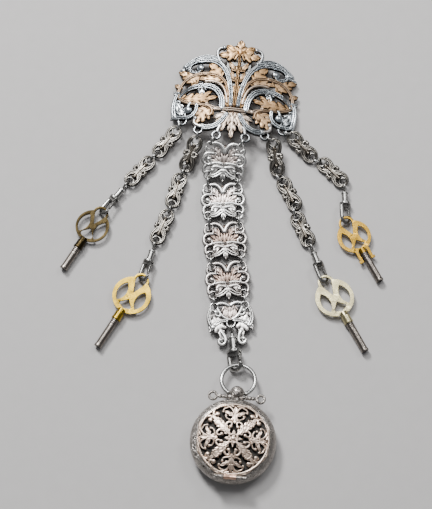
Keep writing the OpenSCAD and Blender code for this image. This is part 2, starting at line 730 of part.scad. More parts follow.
// The four openings that leave the web as a cross
module bow_openings(bow_d, slim) {
    r = bow_d / 2;
    x = bow_x(bow_d);
    hull() {
        translate([ear_x, 0]) circle(ear_hole_r);
        translate([x - 0.2 * r, 0]) circle(0.3);
    }
    offset(r = slim) {
        for (s = [-1, 1]) translate([x + 0.05 * r, s * 0.54 * r]) lens(1.1 * r, 0.52 * r);
        hull() {
            for (s = [-1, 1]) translate([x + 0.62 * r, s * 0.24 * r]) circle(0.1 * r);
            translate([x + 0.66 * r, 0]) circle(0.14 * r);
            translate([x + 0.28 * r, 0]) circle(0.3);
        }
    }
}

// A key's flat bow with its socket, or with a fork beside the pipe
module key_bow(at, heading, bow_d, key_len, colour, forked = false, slim = 0) {
    r = bow_d / 2;
    x = bow_x(bow_d);
    end = x + r;
    neck = neck_len(forked);
    prong_y = pipe_d / 2 + fork_gap;
    color(colour) on_frame(at[1], heading, key_drop(key_len)) difference() {
        union() {
            translate([0, 0, -bow_t / 2]) linear_extrude(bow_t) clean() difference() {
                union() {
                    translate([x, 0]) circle(r);
                    translate([ear_x, 0]) circle(ear_hole_r + ear_rim);
                    if (forked) for (s = [-1, 1]) {
                        translate([end - 1.5, s * (prong_y + fork_w / 2) - fork_w / 2]) square([7, fork_w]);
                        translate([end + 4.4, s * (prong_y + fork_w) - fork_w / 2]) square([1.1, fork_w]);
                    }
                }
                bow_openings(bow_d, slim);
            }
            rod(end - 1.2, end + neck, forked ? tenon_r + 0.6 : socket_r - 0.4);
            if (!forked) {
                rod(end + 1, end + neck - 0.6, socket_r);
                rod(end + neck - 1, end + neck, socket_r + 0.15);
            }
        }
        rod(end + neck - tenon_len - seat_gap, end + neck + 1, tenon_r + seat_gap / 2);
    }
}

module key_pipe(at, heading, bow_d, key_len, forked = false) {
    start = bow_x(bow_d) + bow_d / 2 + neck_len(forked) + seat_gap;
    tip = ear_edge + key_len;
    r = pipe_d / 2;
    color(steel) on_frame(at[1], heading, key_drop(key_len)) difference() {
        union() {
            rod(start - tenon_len, start + 1, tenon_r);
            // Ribs under the socket, then the plain pipe
            rod(start, start + 2.7, r - 0.3);
            for (i = [0:2]) rod(start + 0.9 * i, start + 0.9 * i + 0.5, r - 0.05);
            rod(start + 2.7, tip, r - 0.1, r - 0.2);
            rod(tip - 1, tip, r);
        }
        translate([tip - bore_len, -bore_side / 2, -bore_side / 2]) cube([bore_len + 1, bore_side, bore_side]);
    }
}

// Watch bow, held by the hook and pivoted in the pendant's ball
bow_end_x = ball_d / 2 + 0.9;
bow_mid = sqrt(pow(watch_bow_r, 2) - pow(bow_end_x, 2));
bow_hold_at = watch_swivel[1] -
    ((watch_bow_wire + loop_wire * big_swivel_size) / 2 + 1.3 * hole_clear) * aim(watch_swivel[2], watch_swivel[3]);
watch_heading = watch_turn - 90;
bow_lean = asin((watch_t / 2 - bow_hold_at.z) / (watch_bow_r * cos(bow_hold) + bow_mid));
bow_down = aim(watch_heading, -bow_lean);
bow_centre = bow_hold_at +
    watch_bow_r * (cos(bow_hold) * bow_down + sin(bow_hold) * side(watch_heading));
ball_at = bow_centre + bow_mid * bow_down;

// Case, from its middle, Y towards the pendant
case_r = watch_d / 2;
neck_len = 0.5;
ball_y = case_r + neck_len + ball_d / 2 - 1;
case_at = ball_at + ball_y * [aim(watch_heading).x, aim(watch_heading).y, 0];
cover_r = case_r - rim_w;
cover_edge_z = watch_t - dome_h;
rim_r = 0.68 * watch_t / 2;
rim_z = 0.45 * watch_t;
seat_z = cover_edge_z - 1;
plate_t = 1;
plate_z = seat_z - 1.4;
wall_t = 1.2;
bow_pivot_r = 0.6;
bar_z = watch_t / 2 + 1.4;
bar_y = case_r + 0.5;
hinge_y = -(cover_r + 0.9);
hinge_z = cover_edge_z + 0.35;
hinge_half = 7.6;
cover_knuckle_half = 2.9;
knuckle_gap = 0.2;
hinge_clear = 0.3;

module on_watch() {
    translate([case_at.x, case_at.y, 0]) rotate([0, 0, watch_turn]) children();
}

module watch_bow() {
    color(silver) on_frame(ball_at, watch_heading, -bow_lean) {
        difference() {
            translate([-bow_mid, 0, 0]) rotate_extrude()
                translate([watch_bow_r, 0]) circle(d = watch_bow_wire);
            translate([-2, -bow_end_x, -2]) cube([8, 2 * bow_end_x, 4]);
        }
        for (s = [-1, 1]) {
            translate([0, s * bow_end_x, 0]) sphere(r = watch_bow_wire * 0.62);
            rotate([-90 * s, 0, 0]) translate([0, 0, ball_d / 2 - 1.4]) cylinder(r = bow_pivot_r, h = 2.2);
        }
    }
}

module case_body() {
    rotate_extrude($fn = 96) difference() {
        union() {
            translate([case_r - rim_r, rim_z]) circle(rim_r);
            polygon([
                [0, 0], [0.62 * case_r, 0], [case_r - rim_r, rim_z - rim_r],
                [case_r - rim_r, cover_edge_z - 0.2], [0, cover_edge_z - 0.2]
            ]);
        }
        polygon([
            [-1, 2 * wall_t], [cover_r - wall_t - 1.2, 2 * wall_t], [cover_r - wall_t - 1.2, plate_z],
            [cover_r - wall_t, plate_z], [cover_r - wall_t, seat_z], [cover_r + 0.1, seat_z],
            [cover_r + 0.1, watch_t], [-1, watch_t]
        ]);
    }
}

// A hinge knuckle along X between two places
module knuckle(x0, x1, r) {
    translate([0, hinge_y, hinge_z]) rod(x0, x1, r);
}

module watch_case() {
    color(silver) on_watch() difference() {
        union() {
            case_body();
            // Pendant with its ball, and the beaded bar with its loops
            translate([0, case_r - 1.2, watch_t / 2]) rotate([-90, 0, 0]) cylinder(r = 2.1, h = ball_y - case_r);
            translate([0, ball_y, watch_t / 2]) rotate([0, 0, 90]) sphere(d = ball_d);
            translate([0, bar_y, bar_z]) {
                rod(-bar_len / 2 + 1.9, bar_len / 2 - 1.9, 0.7);
                for (s = [-1, 1]) {
                    for (i = [0:3]) translate([s * (3 + 1.6 * i), 0, 0]) sphere(r = 1);
                    translate([s * bar_len / 2, 0, 0]) rotate_extrude() translate([1.8, 0]) circle(d = 1.3);
                }
            }
            // Outer knuckles and their lugs
            for (s = [-1, 1]) {
                knuckle(s > 0 ? cover_knuckle_half + knuckle_gap : -hinge_half,
                        s > 0 ? hinge_half : -cover_knuckle_half - knuckle_gap, knuckle_d / 2);
                translate([s > 0 ? cover_knuckle_half + knuckle_gap : -hinge_half,
                           hinge_y - knuckle_d / 2, rim_z + 1])
                    cube([hinge_half - cover_knuckle_half - knuckle_gap, knuckle_d * 0.8, hinge_z - rim_z - 1]);
            }
        }
        // Room for the cover's ring and knuckle, pin and bow pivots
        translate([0, 0, seat_z]) cylinder(r = cover_r + 0.1, h = watch_t, $fn = 96);
        knuckle(-cover_knuckle_half - knuckle_gap, cover_knuckle_half + knuckle_gap, knuckle_d / 2 + hinge_clear);
        knuckle(-hinge_half - 1, hinge_half + 1, hinge_pin_d / 2 + swivel_clear / 2);
        translate([0, ball_y, watch_t / 2]) rod(-ball_d, ball_d, bow_pivot_r + swivel_clear);
    }
}

module watch_inner_plate() {
    color(steel) on_watch() translate([0, 0, plate_z + 0.02]) {
        cylinder(r = cover_r - wall_t - seat_gap, h = plate_t, $fn = 96);
        cylinder(r = 2.2, h = plate_t + 0.4);
    }
}

module watch_hinge_pin() {
    color(steel) on_watch() knuckle(-hinge_half, hinge_half, hinge_pin_d / 2);
}

// Cover tables: right half of one arm, Y outwards, at a cover radius of 17 units
cover_unit = cover_r / 17.1;
COVER_STEMS = [
    [[0.4, 2], [3, 0.8], [5.6, 5], [3.2, 7.4], 1.1, 1.2, 0],
    [[3.2, 7.4], [1.6, 8.8], [0.5, 7], [1.7, 5.5], 1.2, 0.9, 0.9],
    [[0.7, 12.4], [1.4, 16.2], [7.4, 17.6], [10, 12.6], 1, 1.3, 0],
    [[10, 12.6], [10.6, 11.2], [9.8, 10.2], [8.2, 11.4], 1.3, 1, 1.2],
    [[1, 15.6], [3, 16.4], [5, 16.6], [7, 15.8], 1, 1, 0]
];
COVER_LEAVES = [
    [[0.8, 10.8], [5.2, 13], 2.2, 2, 0.2]
];
COVER_MIDDLE = [
    [[0, 7.2], [0, 15.8], 3.8, 3, 0],
    [[0, -0.6], [0, 4.4], 1.8, 1, 0]
];
COVER_DIAGONAL = [
    [[0, 2.6], [0, 15.6], 4.8, 5, 0]
];
dome_sphere_r = (pow(cover_r, 2) + pow(dome_h, 2)) / (2 * dome_h);
cover_ring_w = 1.2;

module cover_pattern() {
    for (turn = [0:90:270]) rotate(turn) {
        ornament(COVER_STEMS, COVER_LEAVES, COVER_MIDDLE, cover_unit);
        rotate(45) for (row = COVER_DIAGONAL) leaf(row, cover_unit);
    }
}

module cover_ball(r) {
    translate([0, 0, watch_t - dome_sphere_r]) sphere(r, $fn = 200);
}

module watch_cover() {
    color(silver) on_watch() difference() {
        union() {
            intersection() {
                translate([0, 0, seat_z]) linear_extrude(watch_t) clean() cover_pattern();
                difference() {
                    cover_ball(dome_sphere_r);
                    cover_ball(dome_sphere_r - cover_t);
                }
                cylinder(r = cover_r - cover_ring_w / 2, h = watch_t + 1, $fn = 96);
            }
            translate([0, 0, seat_z + 0.1]) difference() {
                cylinder(r = cover_r, h = 1.2, $fn = 96);
                translate([0, 0, -1]) cylinder(r = cover_r - cover_ring_w, h = 4, $fn = 96);
            }
            knuckle(-cover_knuckle_half, cover_knuckle_half, knuckle_d / 2);
            translate([-cover_knuckle_half, hinge_y, hinge_z - 0.6]) cube([2 * cover_knuckle_half, 1.8, 0.6]);
        }
        for (s = [-1, 1]) knuckle(s > 0 ? cover_knuckle_half : -hinge_half - 1,
            s > 0 ? hinge_half + 1 : -cover_knuckle_half, knuckle_d / 2 + hinge_clear);
        knuckle(-hinge_half, hinge_half, hinge_pin_d / 2 + swivel_clear / 2);
    }
}

plaque();
belt_hook();
band_rings(1);  // band_rings_1
band_rings(2);  // band_rings_2
band_rings(3);  // band_rings_3
band_rings(4);  // band_rings_4
band_rings(5);  // band_rings_5
band_panel(1);  // band_panel_1
band_panel(2);  // band_panel_2
band_panel(3);  // band_panel_3
band_panel(4);  // band_panel_4
band_terminal();
chain_ring(left_outer, 1);  // left_outer_ring_1
chain_ring(left_outer, 2);  // left_outer_ring_2
scroll_link(left_outer, 1);  // left_outer_link_1
scroll_link(left_outer, 2);  // left_outer_link_2
chain_ring(left_inner, 1);  // left_inner_ring_1
chain_ring(left_inner, 2);  // left_inner_ring_2
chain_ring(left_inner, 3);  // left_inner_ring_3
scroll_link(left_inner, 1);  // left_inner_link_1
scroll_link(left_inner, 2);  // left_inner_link_2
scroll_link(left_inner, 3);  // left_inner_link_3
chain_ring(right_inner, 1);  // right_inner_ring_1
chain_ring(right_inner, 2);  // right_inner_ring_2
chain_ring(right_inner, 3);  // right_inner_ring_3
scroll_link(right_inner, 1);  // right_inner_link_1
scroll_link(right_inner, 2);  // right_inner_link_2
scroll_link(right_inner, 3);  // right_inner_link_3
chain_ring(right_outer, 1);  // right_outer_ring_1
chain_ring(right_outer, 2);  // right_outer_ring_2
scroll_link(right_outer, 1);  // right_outer_link_1
scroll_link(right_outer, 2);  // right_outer_link_2
swivel_eye(last(left_outer), 1);  // left_outer_eye
swivel_clip(last(left_outer), 1, swivel_len);  // left_outer_clip
swivel_gate(last(left_outer), 1, swivel_len);  // left_outer_gate
swivel_eye(last(left_inner), 1);  // left_inner_eye
swivel_clip(last(left_inner), 1, swivel_len);  // left_inner_clip
swivel_gate(last(left_inner), 1, swivel_len);  // left_inner_gate
swivel_eye(last(right_inner), 1);  // right_inner_eye
swivel_clip(last(right_inner), 1, swivel_len);  // right_inner_clip
swivel_gate(last(right_inner), 1, swivel_len);  // right_inner_gate
swivel_eye(last(right_outer), 1);  // right_outer_eye
swivel_clip(last(right_outer), 1, swivel_len);  // right_outer_clip
swivel_gate(last(right_outer), 1, swivel_len);  // right_outer_gate
swivel_eye(watch_swivel, big_swivel_size);  // watch_eye
swivel_clip(watch_swivel, big_swivel_size, big_swivel_len);  // watch_clip
swivel_gate(watch_swivel, big_swivel_size, big_swivel_len);  // watch_gate
key_bow(last(left_outer), left_outer_key, small_bow_d, small_key_len, dark_bronze, slim = 0.4);  // left_outer_key_bow
key_pipe(last(left_outer), left_outer_key, small_bow_d, small_key_len);  // left_outer_key_pipe
key_bow(last(left_inner), left_inner_key, large_bow_d, large_key_len, pale_brass);  // left_inner_key_bow
key_pipe(last(left_inner), left_inner_key, large_bow_d, large_key_len);  // left_inner_key_pipe
key_bow(last(right_inner), right_inner_key, large_bow_d, large_key_len, pale_brass);  // right_inner_key_bow
key_pipe(last(right_inner), right_inner_key, large_bow_d, large_key_len);  // right_inner_key_pipe
key_bow(last(right_outer), right_outer_key, small_bow_d, small_key_len, pale_brass, true);  // right_outer_key_bow
key_pipe(last(right_outer), right_outer_key, small_bow_d, small_key_len, true);  // right_outer_key_pipe
watch_bow();
watch_case();
watch_inner_plate();
watch_cover();
watch_hinge_pin();
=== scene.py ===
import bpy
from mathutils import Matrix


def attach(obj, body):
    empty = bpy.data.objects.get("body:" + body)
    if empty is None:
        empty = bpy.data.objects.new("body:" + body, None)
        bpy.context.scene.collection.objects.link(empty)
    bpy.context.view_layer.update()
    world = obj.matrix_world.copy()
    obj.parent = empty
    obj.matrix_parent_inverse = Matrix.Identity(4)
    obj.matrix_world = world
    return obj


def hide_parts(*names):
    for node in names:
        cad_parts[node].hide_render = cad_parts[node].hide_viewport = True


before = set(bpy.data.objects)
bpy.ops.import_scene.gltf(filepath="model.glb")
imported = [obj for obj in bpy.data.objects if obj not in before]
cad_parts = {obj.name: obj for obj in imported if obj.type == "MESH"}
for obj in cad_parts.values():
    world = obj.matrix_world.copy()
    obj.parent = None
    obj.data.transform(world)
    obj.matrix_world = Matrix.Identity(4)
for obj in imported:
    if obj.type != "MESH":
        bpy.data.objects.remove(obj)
"""Look of a chatelaine: cast openwork in relief over the solids, its metals, light and camera."""
import logging
import math
from collections.abc import Callable, Sequence
from dataclasses import dataclass, field
from enum import Enum
from functools import cache
from typing import NamedTuple

import bpy
from mathutils import Matrix, Vector

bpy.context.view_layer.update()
LOG = logging.getLogger("chatelaine")
MM = 0.001
Pair = tuple[float, float]
Socket = bpy.types.NodeSocket

# Crests at which the dark skin in the hollows, patina and painted shade, is whole and gone, and how
# unevenly its edge is worn
SKIN_WHOLE = 0.14
SKIN_GONE = 0.46
GRAIN_WEAR = 0.14
# Spaces across a leaf and along each of its lobes
LEAF_ACROSS = 12
LOBE_STEPS = 12
# Half the width of a leaf's two ends, in millimetres
LEAF_END = 0.02
# Of half a leaf's width: its midrib, and the middle and half width of the gutter beside it
SPINE = 0.14
GUTTER_AT = 0.3
GUTTER = 0.13
# How far a cut runs back toward the leaf's base on its way to the midrib, in lobes
CUT_BACK = 0.55
# Points round a boss, and its shape over the wall: share of rise, share of radius
BOSS_AROUND = 16
BOSS_PROFILE = ((0.55, 0.86), (0.88, 0.55), (1, 0.15))
# Points round the cover's knuckle, and its turned shape: place in half lengths, share of radius
KNUCKLE_AROUND = 20
KNUCKLE_PROFILE = (
    (-1, 0.8), (-0.96, 1), (-0.34, 1), (-0.3, 0.9), (0.3, 0.9), (0.34, 1), (0.96, 1), (1, 0.8),
)


class Stem(NamedTuple):
    """A scroll stem: four control points, widths, end ball, ribs along it, share of gilding, lift."""

    curve: tuple[Pair, Pair, Pair, Pair]
    start_w: float
    end_w: float
    ball: float
    ribs: int
    gilt: float
    lift: float


class Leaf(NamedTuple):
    """A lobed leaf: base, tip, width, lobes on each side, sideways bend, share of gilding, lift."""

    base: Pair
    tip: Pair
    width: float
    lobes: int
    bend: float
    gilt: float
    lift: float


PLAQUE_STEMS = (
    Stem(((1.8, 2), (2.8, 15), (5.5, 25.6), (14.5, 26.8)), 2.6, 3.6, 0, 3, 0.04, 0.45),
    Stem(((14.5, 26.8), (20, 27.4), (25.6, 26), (25.2, 22.4)), 3.6, 2.4, 0, 3, 0.04, 0.45),
    Stem(((25.2, 22.4), (24.6, 18.8), (18.6, 18.6), (19.4, 22.4)), 2.4, 1.6, 2.2, 2, 0.04, 0.45),
    Stem(((5.6, 22), (12.3, 27.5), (13.6, 34.4), (8.4, 34.4)), 1.7, 1.7, 1.3, 1, 0.1, 0.2),
    Stem(((9.5, 26.6), (15, 31), (21.6, 29.6), (27.6, 23.4)), 1.8, 2.6, 0.9, 2, 0.04, 0.2),
    Stem(((3.6, 7), (4.6, 16.8), (10, 19), (16, 19)), 1.8, 2.3, 0, 2, 0.8, 0.3),
    Stem(((16, 19), (24, 19), (29.5, 14), (29.3, 7.5)), 2.3, 1.9, 0, 2, 0.75, 0.3),
    Stem(((29.3, 7.5), (29.1, 2.2), (20, 1.6), (14.5, 1)), 1.9, 2, 0, 2, 0.75, 0.25),
    Stem(((14.5, 1), (11, 0.4), (9.4, -3.4), (12.6, -5)), 2, 1.4, 0, 1, 0.8, 0.2),
    Stem(((6.2, -0.2), (6.2, 9.2), (11, 12.2), (17, 12)), 3.6, 3.5, 0, 3, 0.03, 0.5),
    Stem(((17, 12), (22, 11.8), (26, 9.6), (28.4, 5.4)), 3.5, 1.9, 0, 3, 0.03, 0.5),
    Stem(((4, 3), (5, 13.6), (10, 15.4), (16, 14.6)), 1.6, 1.8, 0, 1, 0.6, 0.1),
    Stem(((0, 2), (0, 10), (0, 20), (0, 31)), 2.6, 1.7, 0, 2, 0.9, 0.25),
    Stem(((19.2, 1.2), (18, -5.6), (24, -7.8), (29.7, -5.4)), 2.4, 2.8, 0, 2, 0.03, 0.35),
    Stem(((29.4, 8), (31.6, 4.4), (31.2, -1), (30.2, -4.6)), 2.2, 2.9, 1.1, 2, 0.03, 0.35),
    Stem(((3.4, -3.4), (6, -9.4), (10, -12.6), (16, -11)), 2.8, 3.6, 0, 3, 0.05, 0.35),
    Stem(((22.6, 2), (23.4, 1), (23.6, 0), (23.4, -1.6)), 2, 1.8, 2.3, 1, 0.03, 0.4),
    Stem(((16, -11), (18.6, -10.4), (20.6, -9), (19, -6.6)), 2.6, 1.8, 1.4, 1, 0.3, 0.3),
    Stem(((9.4, -1), (11, 0), (12.4, 0.8), (14.5, 1)), 2.6, 2, 0, 2, 0.6, 0.25),
    Stem(((6, -10.2), (6.4, -11), (6.8, -12), (7, -13.4)), 2.4, 2, 0, 1, 0.2, 0.1),
)
PLAQUE_LEAVES = (
    Leaf((0.4, 32), (10.8, 30.6), 7.8, 3, -0.9, 0.9, 0.3),
    Leaf((0.4, 32.4), (7.4, 36), 5.4, 2, -0.5, 0.95, 0.4),
    Leaf((0.2, 21.4), (5, 26.6), 3.8, 2, -0.5, 0.85, 0.1),
    Leaf((0.4, 15), (3.6, 21.4), 3.2, 2, -0.5, 0.85, 0.1),
    Leaf((8, 17.6), (14.8, 26), 9.4, 3, 0.4, 0.92, -0.1),
    Leaf((6, 15), (20.4, 16), 5, 4, 0.8, 0.85, 0.1),
    Leaf((17.4, 18.4), (27, 15.4), 3.6, 3, -0.8, 0.85, 0.1),
    Leaf((20, 12.8), (30.4, 20.8), 7.4, 4, 0.8, 0.88, 0),
    Leaf((17.6, 11.6), (17.2, 6.6), 5.2, 2, 0, 0.06, 0.3),
    Leaf((28.4, 5.2), (8.8, 6), 7.2, 5, 1, 0.9, 0.2),
    Leaf((24, 4.4), (12, 9), 4.6, 4, 0.6, 0.9, 0),
    Leaf((15, 4.6), (13.6, 0.8), 2.6, 2, 0, 0.7, 0),
    Leaf((3.2, 0.6), (6, 16), 5.6, 4, 0.6, 0.92, 0.1),
    Leaf((1.6, 0.6), (3, 13), 4.2, 3, 0.3, 0.92, 0.2),
    Leaf((10.6, -0.4), (20, -9.8), 9.6, 4, 0.8, 0.86, 0.3),
    Leaf((12, -1), (19.4, -3.4), 4.6, 3, 0.6, 0.8, 0.1),
    Leaf((29, 6), (32, 9.6), 2.4, 2, 0, 0.1, 0),
    Leaf((27.4, 10.6), (31.8, 13.6), 3.6, 2, 0, 0.85, 0),
    Leaf((0.8, -2), (5.4, -13.4), 5, 3, 0.4, 0.62, 0.2),
    Leaf((2, -2.2), (8.8, -9.6), 4.2, 3, 0.4, 0.6, 0.1),
    Leaf((2.6, -2.4), (10, -6.2), 3.6, 2, 0.3, 0.56, 0.1),
    Leaf((28.6, -4.2), (31.8, -6.8), 2.2, 2, 0, 0.05, 0),
    Leaf((26, 23), (30.6, 20.6), 2.2, 2, 0, 0.05, 0),
    Leaf((30.4, 4.4), (24.4, -3.6), 5, 3, 0.6, 0.05, 0),
    Leaf((24, -6), (29.6, -1), 3.6, 2, 0, 0.05, 0),
)
PLAQUE_MIDDLE = (
    Leaf((0, 30), (0, 39.6), 8, 3, 0, 0.88, 0.35),
    Leaf((0, 0.6), (0, 15), 7.4, 3, 0, 0.92, 0),
    Leaf((0, -1.6), (0, -17.2), 6, 4, 0, 0.6, 0.35),
)
PLAQUE_TIE = Stem(((-9.4, -0.8), (-3, -0.5), (3, -0.5), (9.4, -0.8)), 2.6, 2.6, 0, 2, 0.6, 0.3)
PANEL_STEMS = (
    Stem(((5.6, 3.4), (11.2, 4.8), (11.6, -2), (7.8, -2.2)), 1.9, 1.7, 0, 1, 0, 0.4),
    Stem(((7.8, -2.2), (5.6, -2), (5.8, 0.4), (7.5, 0.5)), 1.7, 1.5, 1.5, 1, 0, 0.4),
    Stem(((0.3, 4.6), (1.5, 8.4), (4, 9.4), (6.4, 8.3)), 2.4, 2.1, 0, 1, 0, 0.4),
    Stem(((9.3, 6.2), (10, 5), (9.4, 3.8), (8.4, 3.2)), 1.5, 1.6, 0, 1, 0, 0.2),
    Stem(((8, -2.2), (10, -3), (10.2, -5.4), (9.2, -6.4)), 1.7, 1.6, 0, 1, 0, 0.2),
    Stem(((0.4, -5), (2.4, -6.4), (4, -8.2), (6.4, -7.5)), 3.4, 2.1, 0, 2, 0, 0.3),
    Stem(((1, -3.4), (4, -2.4), (6, -3), (5.4, -5)), 2.2, 1.6, 1.3, 1, 0, 0.3),
    Stem(((1.4, -1.4), (3.6, -0.8), (5.6, -1.4), (7.8, -2.2)), 2.2, 1.7, 0, 1, 0, 0.3),
    Stem(((5.8, 3.6), (5, 5), (5.4, 6.4), (6.6, 6)), 1.4, 1.3, 1.1, 1, 0.1, 0.2),
)
PANEL_LEAVES = (
    Leaf((0.8, -2.6), (3.4, 6.6), 4, 3, -0.4, 0.34, 0.2),
    Leaf((1.4, -2), (6.8, 4.2), 3.9, 3, -0.4, 0.36, 0.2),
    Leaf((3, 3), (5.2, 7), 2.8, 2, 0, 0.2, 0),
    Leaf((0.6, -1.4), (6, -7), 3.6, 2, 0.4, 0.05, 0.6),
    Leaf((1, -1.2), (6.6, -3.6), 2.8, 2, 0.3, 0.1, 0.5),
)
PANEL_MIDDLE = (
    Leaf((0, -3), (0, 8.4), 4.2, 3, 0, 0.36, 0.3),
    Leaf((0, -0.8), (0, -10.2), 5.4, 3, 0, 0.02, 0.8),
)
TERMINAL_STEMS = (
    Stem(((9.2, 6.2), (11, 3), (10.6, -1), (8.6, -3)), 1.8, 2.8, 0, 2, 0, 0.3),
    Stem(((4.6, -6), (2.8, -8), (2.4, -12.4), (5.2, -11.8)), 2.4, 1.7, 0, 1, 0, 0.3),
    Stem(((5.2, -11.8), (7, -11.2), (6.8, -9.4), (5.6, -9.6)), 1.7, 1.4, 1.4, 1, 0, 0.3),
    Stem(((6.4, 7.6), (5.2, 3.6), (3.6, 1.6), (1, 0.4)), 1.8, 1.8, 0, 1, 0, 0.2),
    Stem(((1.6, -0.4), (4, 0.2), (6, -0.8), (7.6, -2)), 1.9, 2.4, 0, 2, 0, 0.3),
    Stem(((4.6, 2.6), (6, 2), (7.6, 2.6), (6.8, 4.4)), 1.7, 1.4, 1.4, 1, 0, 0.3),
    Stem(((0.6, 7.4), (2.4, 9), (4.4, 9.2), (6.2, 8)), 2, 2, 0, 1, 0, 0.3),
)
TERMINAL_LEAVES = (
    Leaf((9, 3.6), (4.2, -9.4), 8.4, 4, -0.8, 0.1, 0.3),
    Leaf((2.3, 7.4), (2.3, 0.6), 3.8, 2, 0, 0.36, 0),
    Leaf((8, 0.4), (10.4, -5.4), 3.8, 2, 0, 0.05, 0.1),
)
TERMINAL_MIDDLE = (Leaf((0, -0.8), (0, 9.6), 4, 3, 0, 0.35, 0.1),)
LINK_STEMS = (
    Stem(((8.2, 0), (8.2, 3.5), (4, 4.2), (0.4, 0.7)), 1.5, 2.3, 0, 2, 0.1, 0.4),
    Stem(((0.6, 0.3), (1.6, 1.4), (1, 3.5), (-0.5, 3)), 1.7, 1.3, 1, 1, 0.1, 0.3),
    Stem(((0.2, 0), (1.4, 0), (2.6, 0), (4.1, 0)), 2.8, 1.5, 1.1, 1, 0.3, 0.5),
    Stem(((1.2, 0.6), (2.4, 0.8), (3.4, 1.4), (4, 2.4)), 1.4, 1.2, 0, 1, 0.2, 0.2),
)
COVER_STEMS = (
    Stem(((0.4, 2), (3, 0.8), (5.6, 5), (3.2, 7.4)), 1.1, 1.2, 0, 1, 0.1, 0.1),
    Stem(((3.2, 7.4), (1.6, 8.8), (0.5, 7), (1.7, 5.5)), 1.2, 0.9, 0.9, 1, 0.1, 0.1),
    Stem(((0.7, 12.4), (1.4, 16.2), (7.4, 17.6), (10, 12.6)), 1, 1.3, 0, 1, 0.1, 0.1),
    Stem(((10, 12.6), (10.6, 11.2), (9.8, 10.2), (8.2, 11.4)), 1.3, 1, 1.2, 1, 0.1, 0.1),
    Stem(((1, 15.6), (3, 16.4), (5, 16.6), (7, 15.8)), 1, 1, 0, 1, 0.1, 0.1),
    Stem(((0.6, 8.6), (2.2, 9), (4.6, 9), (4.2, 10.8)), 0.7, 0.8, 0.75, 1, 0.1, 0.2),
    Stem(((3.4, 5.2), (4.4, 6.8), (6.4, 6.4), (6.2, 8)), 0.8, 0.7, 0.7, 1, 0.1, 0.2),
    Stem(((7.4, 9), (8.6, 8.4), (9.6, 7.4), (8.8, 6.6)), 0.9, 0.7, 0.7, 1, 0.1, 0.2),
    Stem(((3.6, 14.8), (5, 14.6), (6, 13.6), (5.6, 12.6)), 0.8, 0.7, 0.7, 1, 0.1, 0.2),
)
COVER_LEAVES = (Leaf((0.8, 10.8), (5.2, 13), 2.2, 2, 0.2, 0.15, 0.1),)
COVER_MIDDLE = (
    Leaf((0, 7.2), (0, 15.8), 3.8, 3, 0, 0.15, 0.1),
    Leaf((0, -0.6), (0, 4.4), 1.8, 1, 0, 0.1, 0),
)
COVER_DIAGONAL = Leaf((0, 2.6), (0, 15.6), 4.8, 5, 0, 0.1, 0.1)


class Place(NamedTuple):
    """Where a chain or band piece lies: its start in millimetres, heading, drop and roll in degrees."""

    x: float
    y: float
    z: float
    heading: float
    drop: float
    roll: float

    def matrix(self) -> Matrix:
        """The frame with X along the piece.

        Returns:
            The placing matrix, in millimetres.
        """
        turn = Matrix.Rotation(math.radians(self.heading), 4, "Z")
        turn @= Matrix.Rotation(math.radians(self.drop), 4, "Y")
        turn @= Matrix.Rotation(math.radians(self.roll), 4, "X")
        return Matrix.Translation((self.x, self.y, self.z)) @ turn


BAND_PLACES = {
    "band_panel_1": Place(1.927, 55.292, 8.99, -95, 17.745, 0),
    "band_panel_2": Place(0.542, 35.752, 3.48, -88.5, 1.588, 0),
    "band_panel_3": Place(1.199, 15.37, 3.045, -87, 0.106, 0),
    "band_panel_4": Place(2.349, -4.997, 3.016, -86, 0.423, 0),
    "band_terminal": Place(3.772, -25.347, 2.9, -86, 0, 0),
}
LINK_PLACES = {
    "left_outer_link_1": Place(-22.11, 65.635, 4.505, -129, 6.658, 0),
    "left_outer_link_2": Place(-35.099, 50.191, 2.65, -132, 0, 0),
    "left_inner_link_1": Place(-12.368, 59.445, 7.42, -112, 17.345, 0),
    "left_inner_link_2": Place(-20.24, 41.56, 2.65, -106, 0, 0),
    "left_inner_link_3": Place(-26.12, 22.14, 2.65, -112, 0, 0),
    "right_inner_link_1": Place(25.608, 58.297, 7.022, -81, 17.345, 14),
    "right_inner_link_2": Place(30.016, 39.416, 2.252, -64, -0.19, 18),
    "right_inner_link_3": Place(36.581, 20.759, 2.305, -66, -1.234, 16),
    "right_outer_link_1": Place(34.826, 62.743, 4.24, -47, 7.136, 18),
    "right_outer_link_2": Place(49.582, 49.383, 2.252, -46, -1.424, 18),
}


def shade_of(hex_code: str) -> tuple[float, float, float, float]:
    """Turns an sRGB hex colour to linear.

    Args:
        hex_code: Six hex digits after a hash sign.

    Returns:
        Linear red, green, blue and alpha.
    """
    parts = [int(hex_code[i : i + 2], 16) / 255 for i in (1, 3, 5)]
    linear = [p / 12.92 if p <= 0.04045 else ((p + 0.055) / 1.055) ** 2.4 for p in parts]
    return (linear[0], linear[1], linear[2], 1.0)


def add_node(
    tree: bpy.types.NodeTree, kind: str, settings: dict | None = None, **links: object
) -> bpy.types.Node:
    """Adds a shader node with its settings and links.

    Args:
        tree: The material's node tree.
        kind: Blender's name for the node.
        settings: Attributes of the node, or values of its sockets by name or number.
        **links: Output sockets by the name of the input that they feed, with underscores for spaces.

    Returns:
        The new node.
    """
    node = tree.nodes.new(kind)
    for name, value in (settings or {}).items():
        if isinstance(name, str) and hasattr(node, name):
            setattr(node, name, value)
        else:
            node.inputs[name].default_value = value
    for name, socket in links.items():
        key = int(name[1:]) if name[0] == "i" and name[1:].isdigit() else name.replace("_", " ")
        tree.links.new(socket, node.inputs[key])
    return node


class Ground(Enum):
    """Share of dark at the densest of a metal's tarnish clouds."""

    BLACKENED = 0.5
    SOFT = 0.4


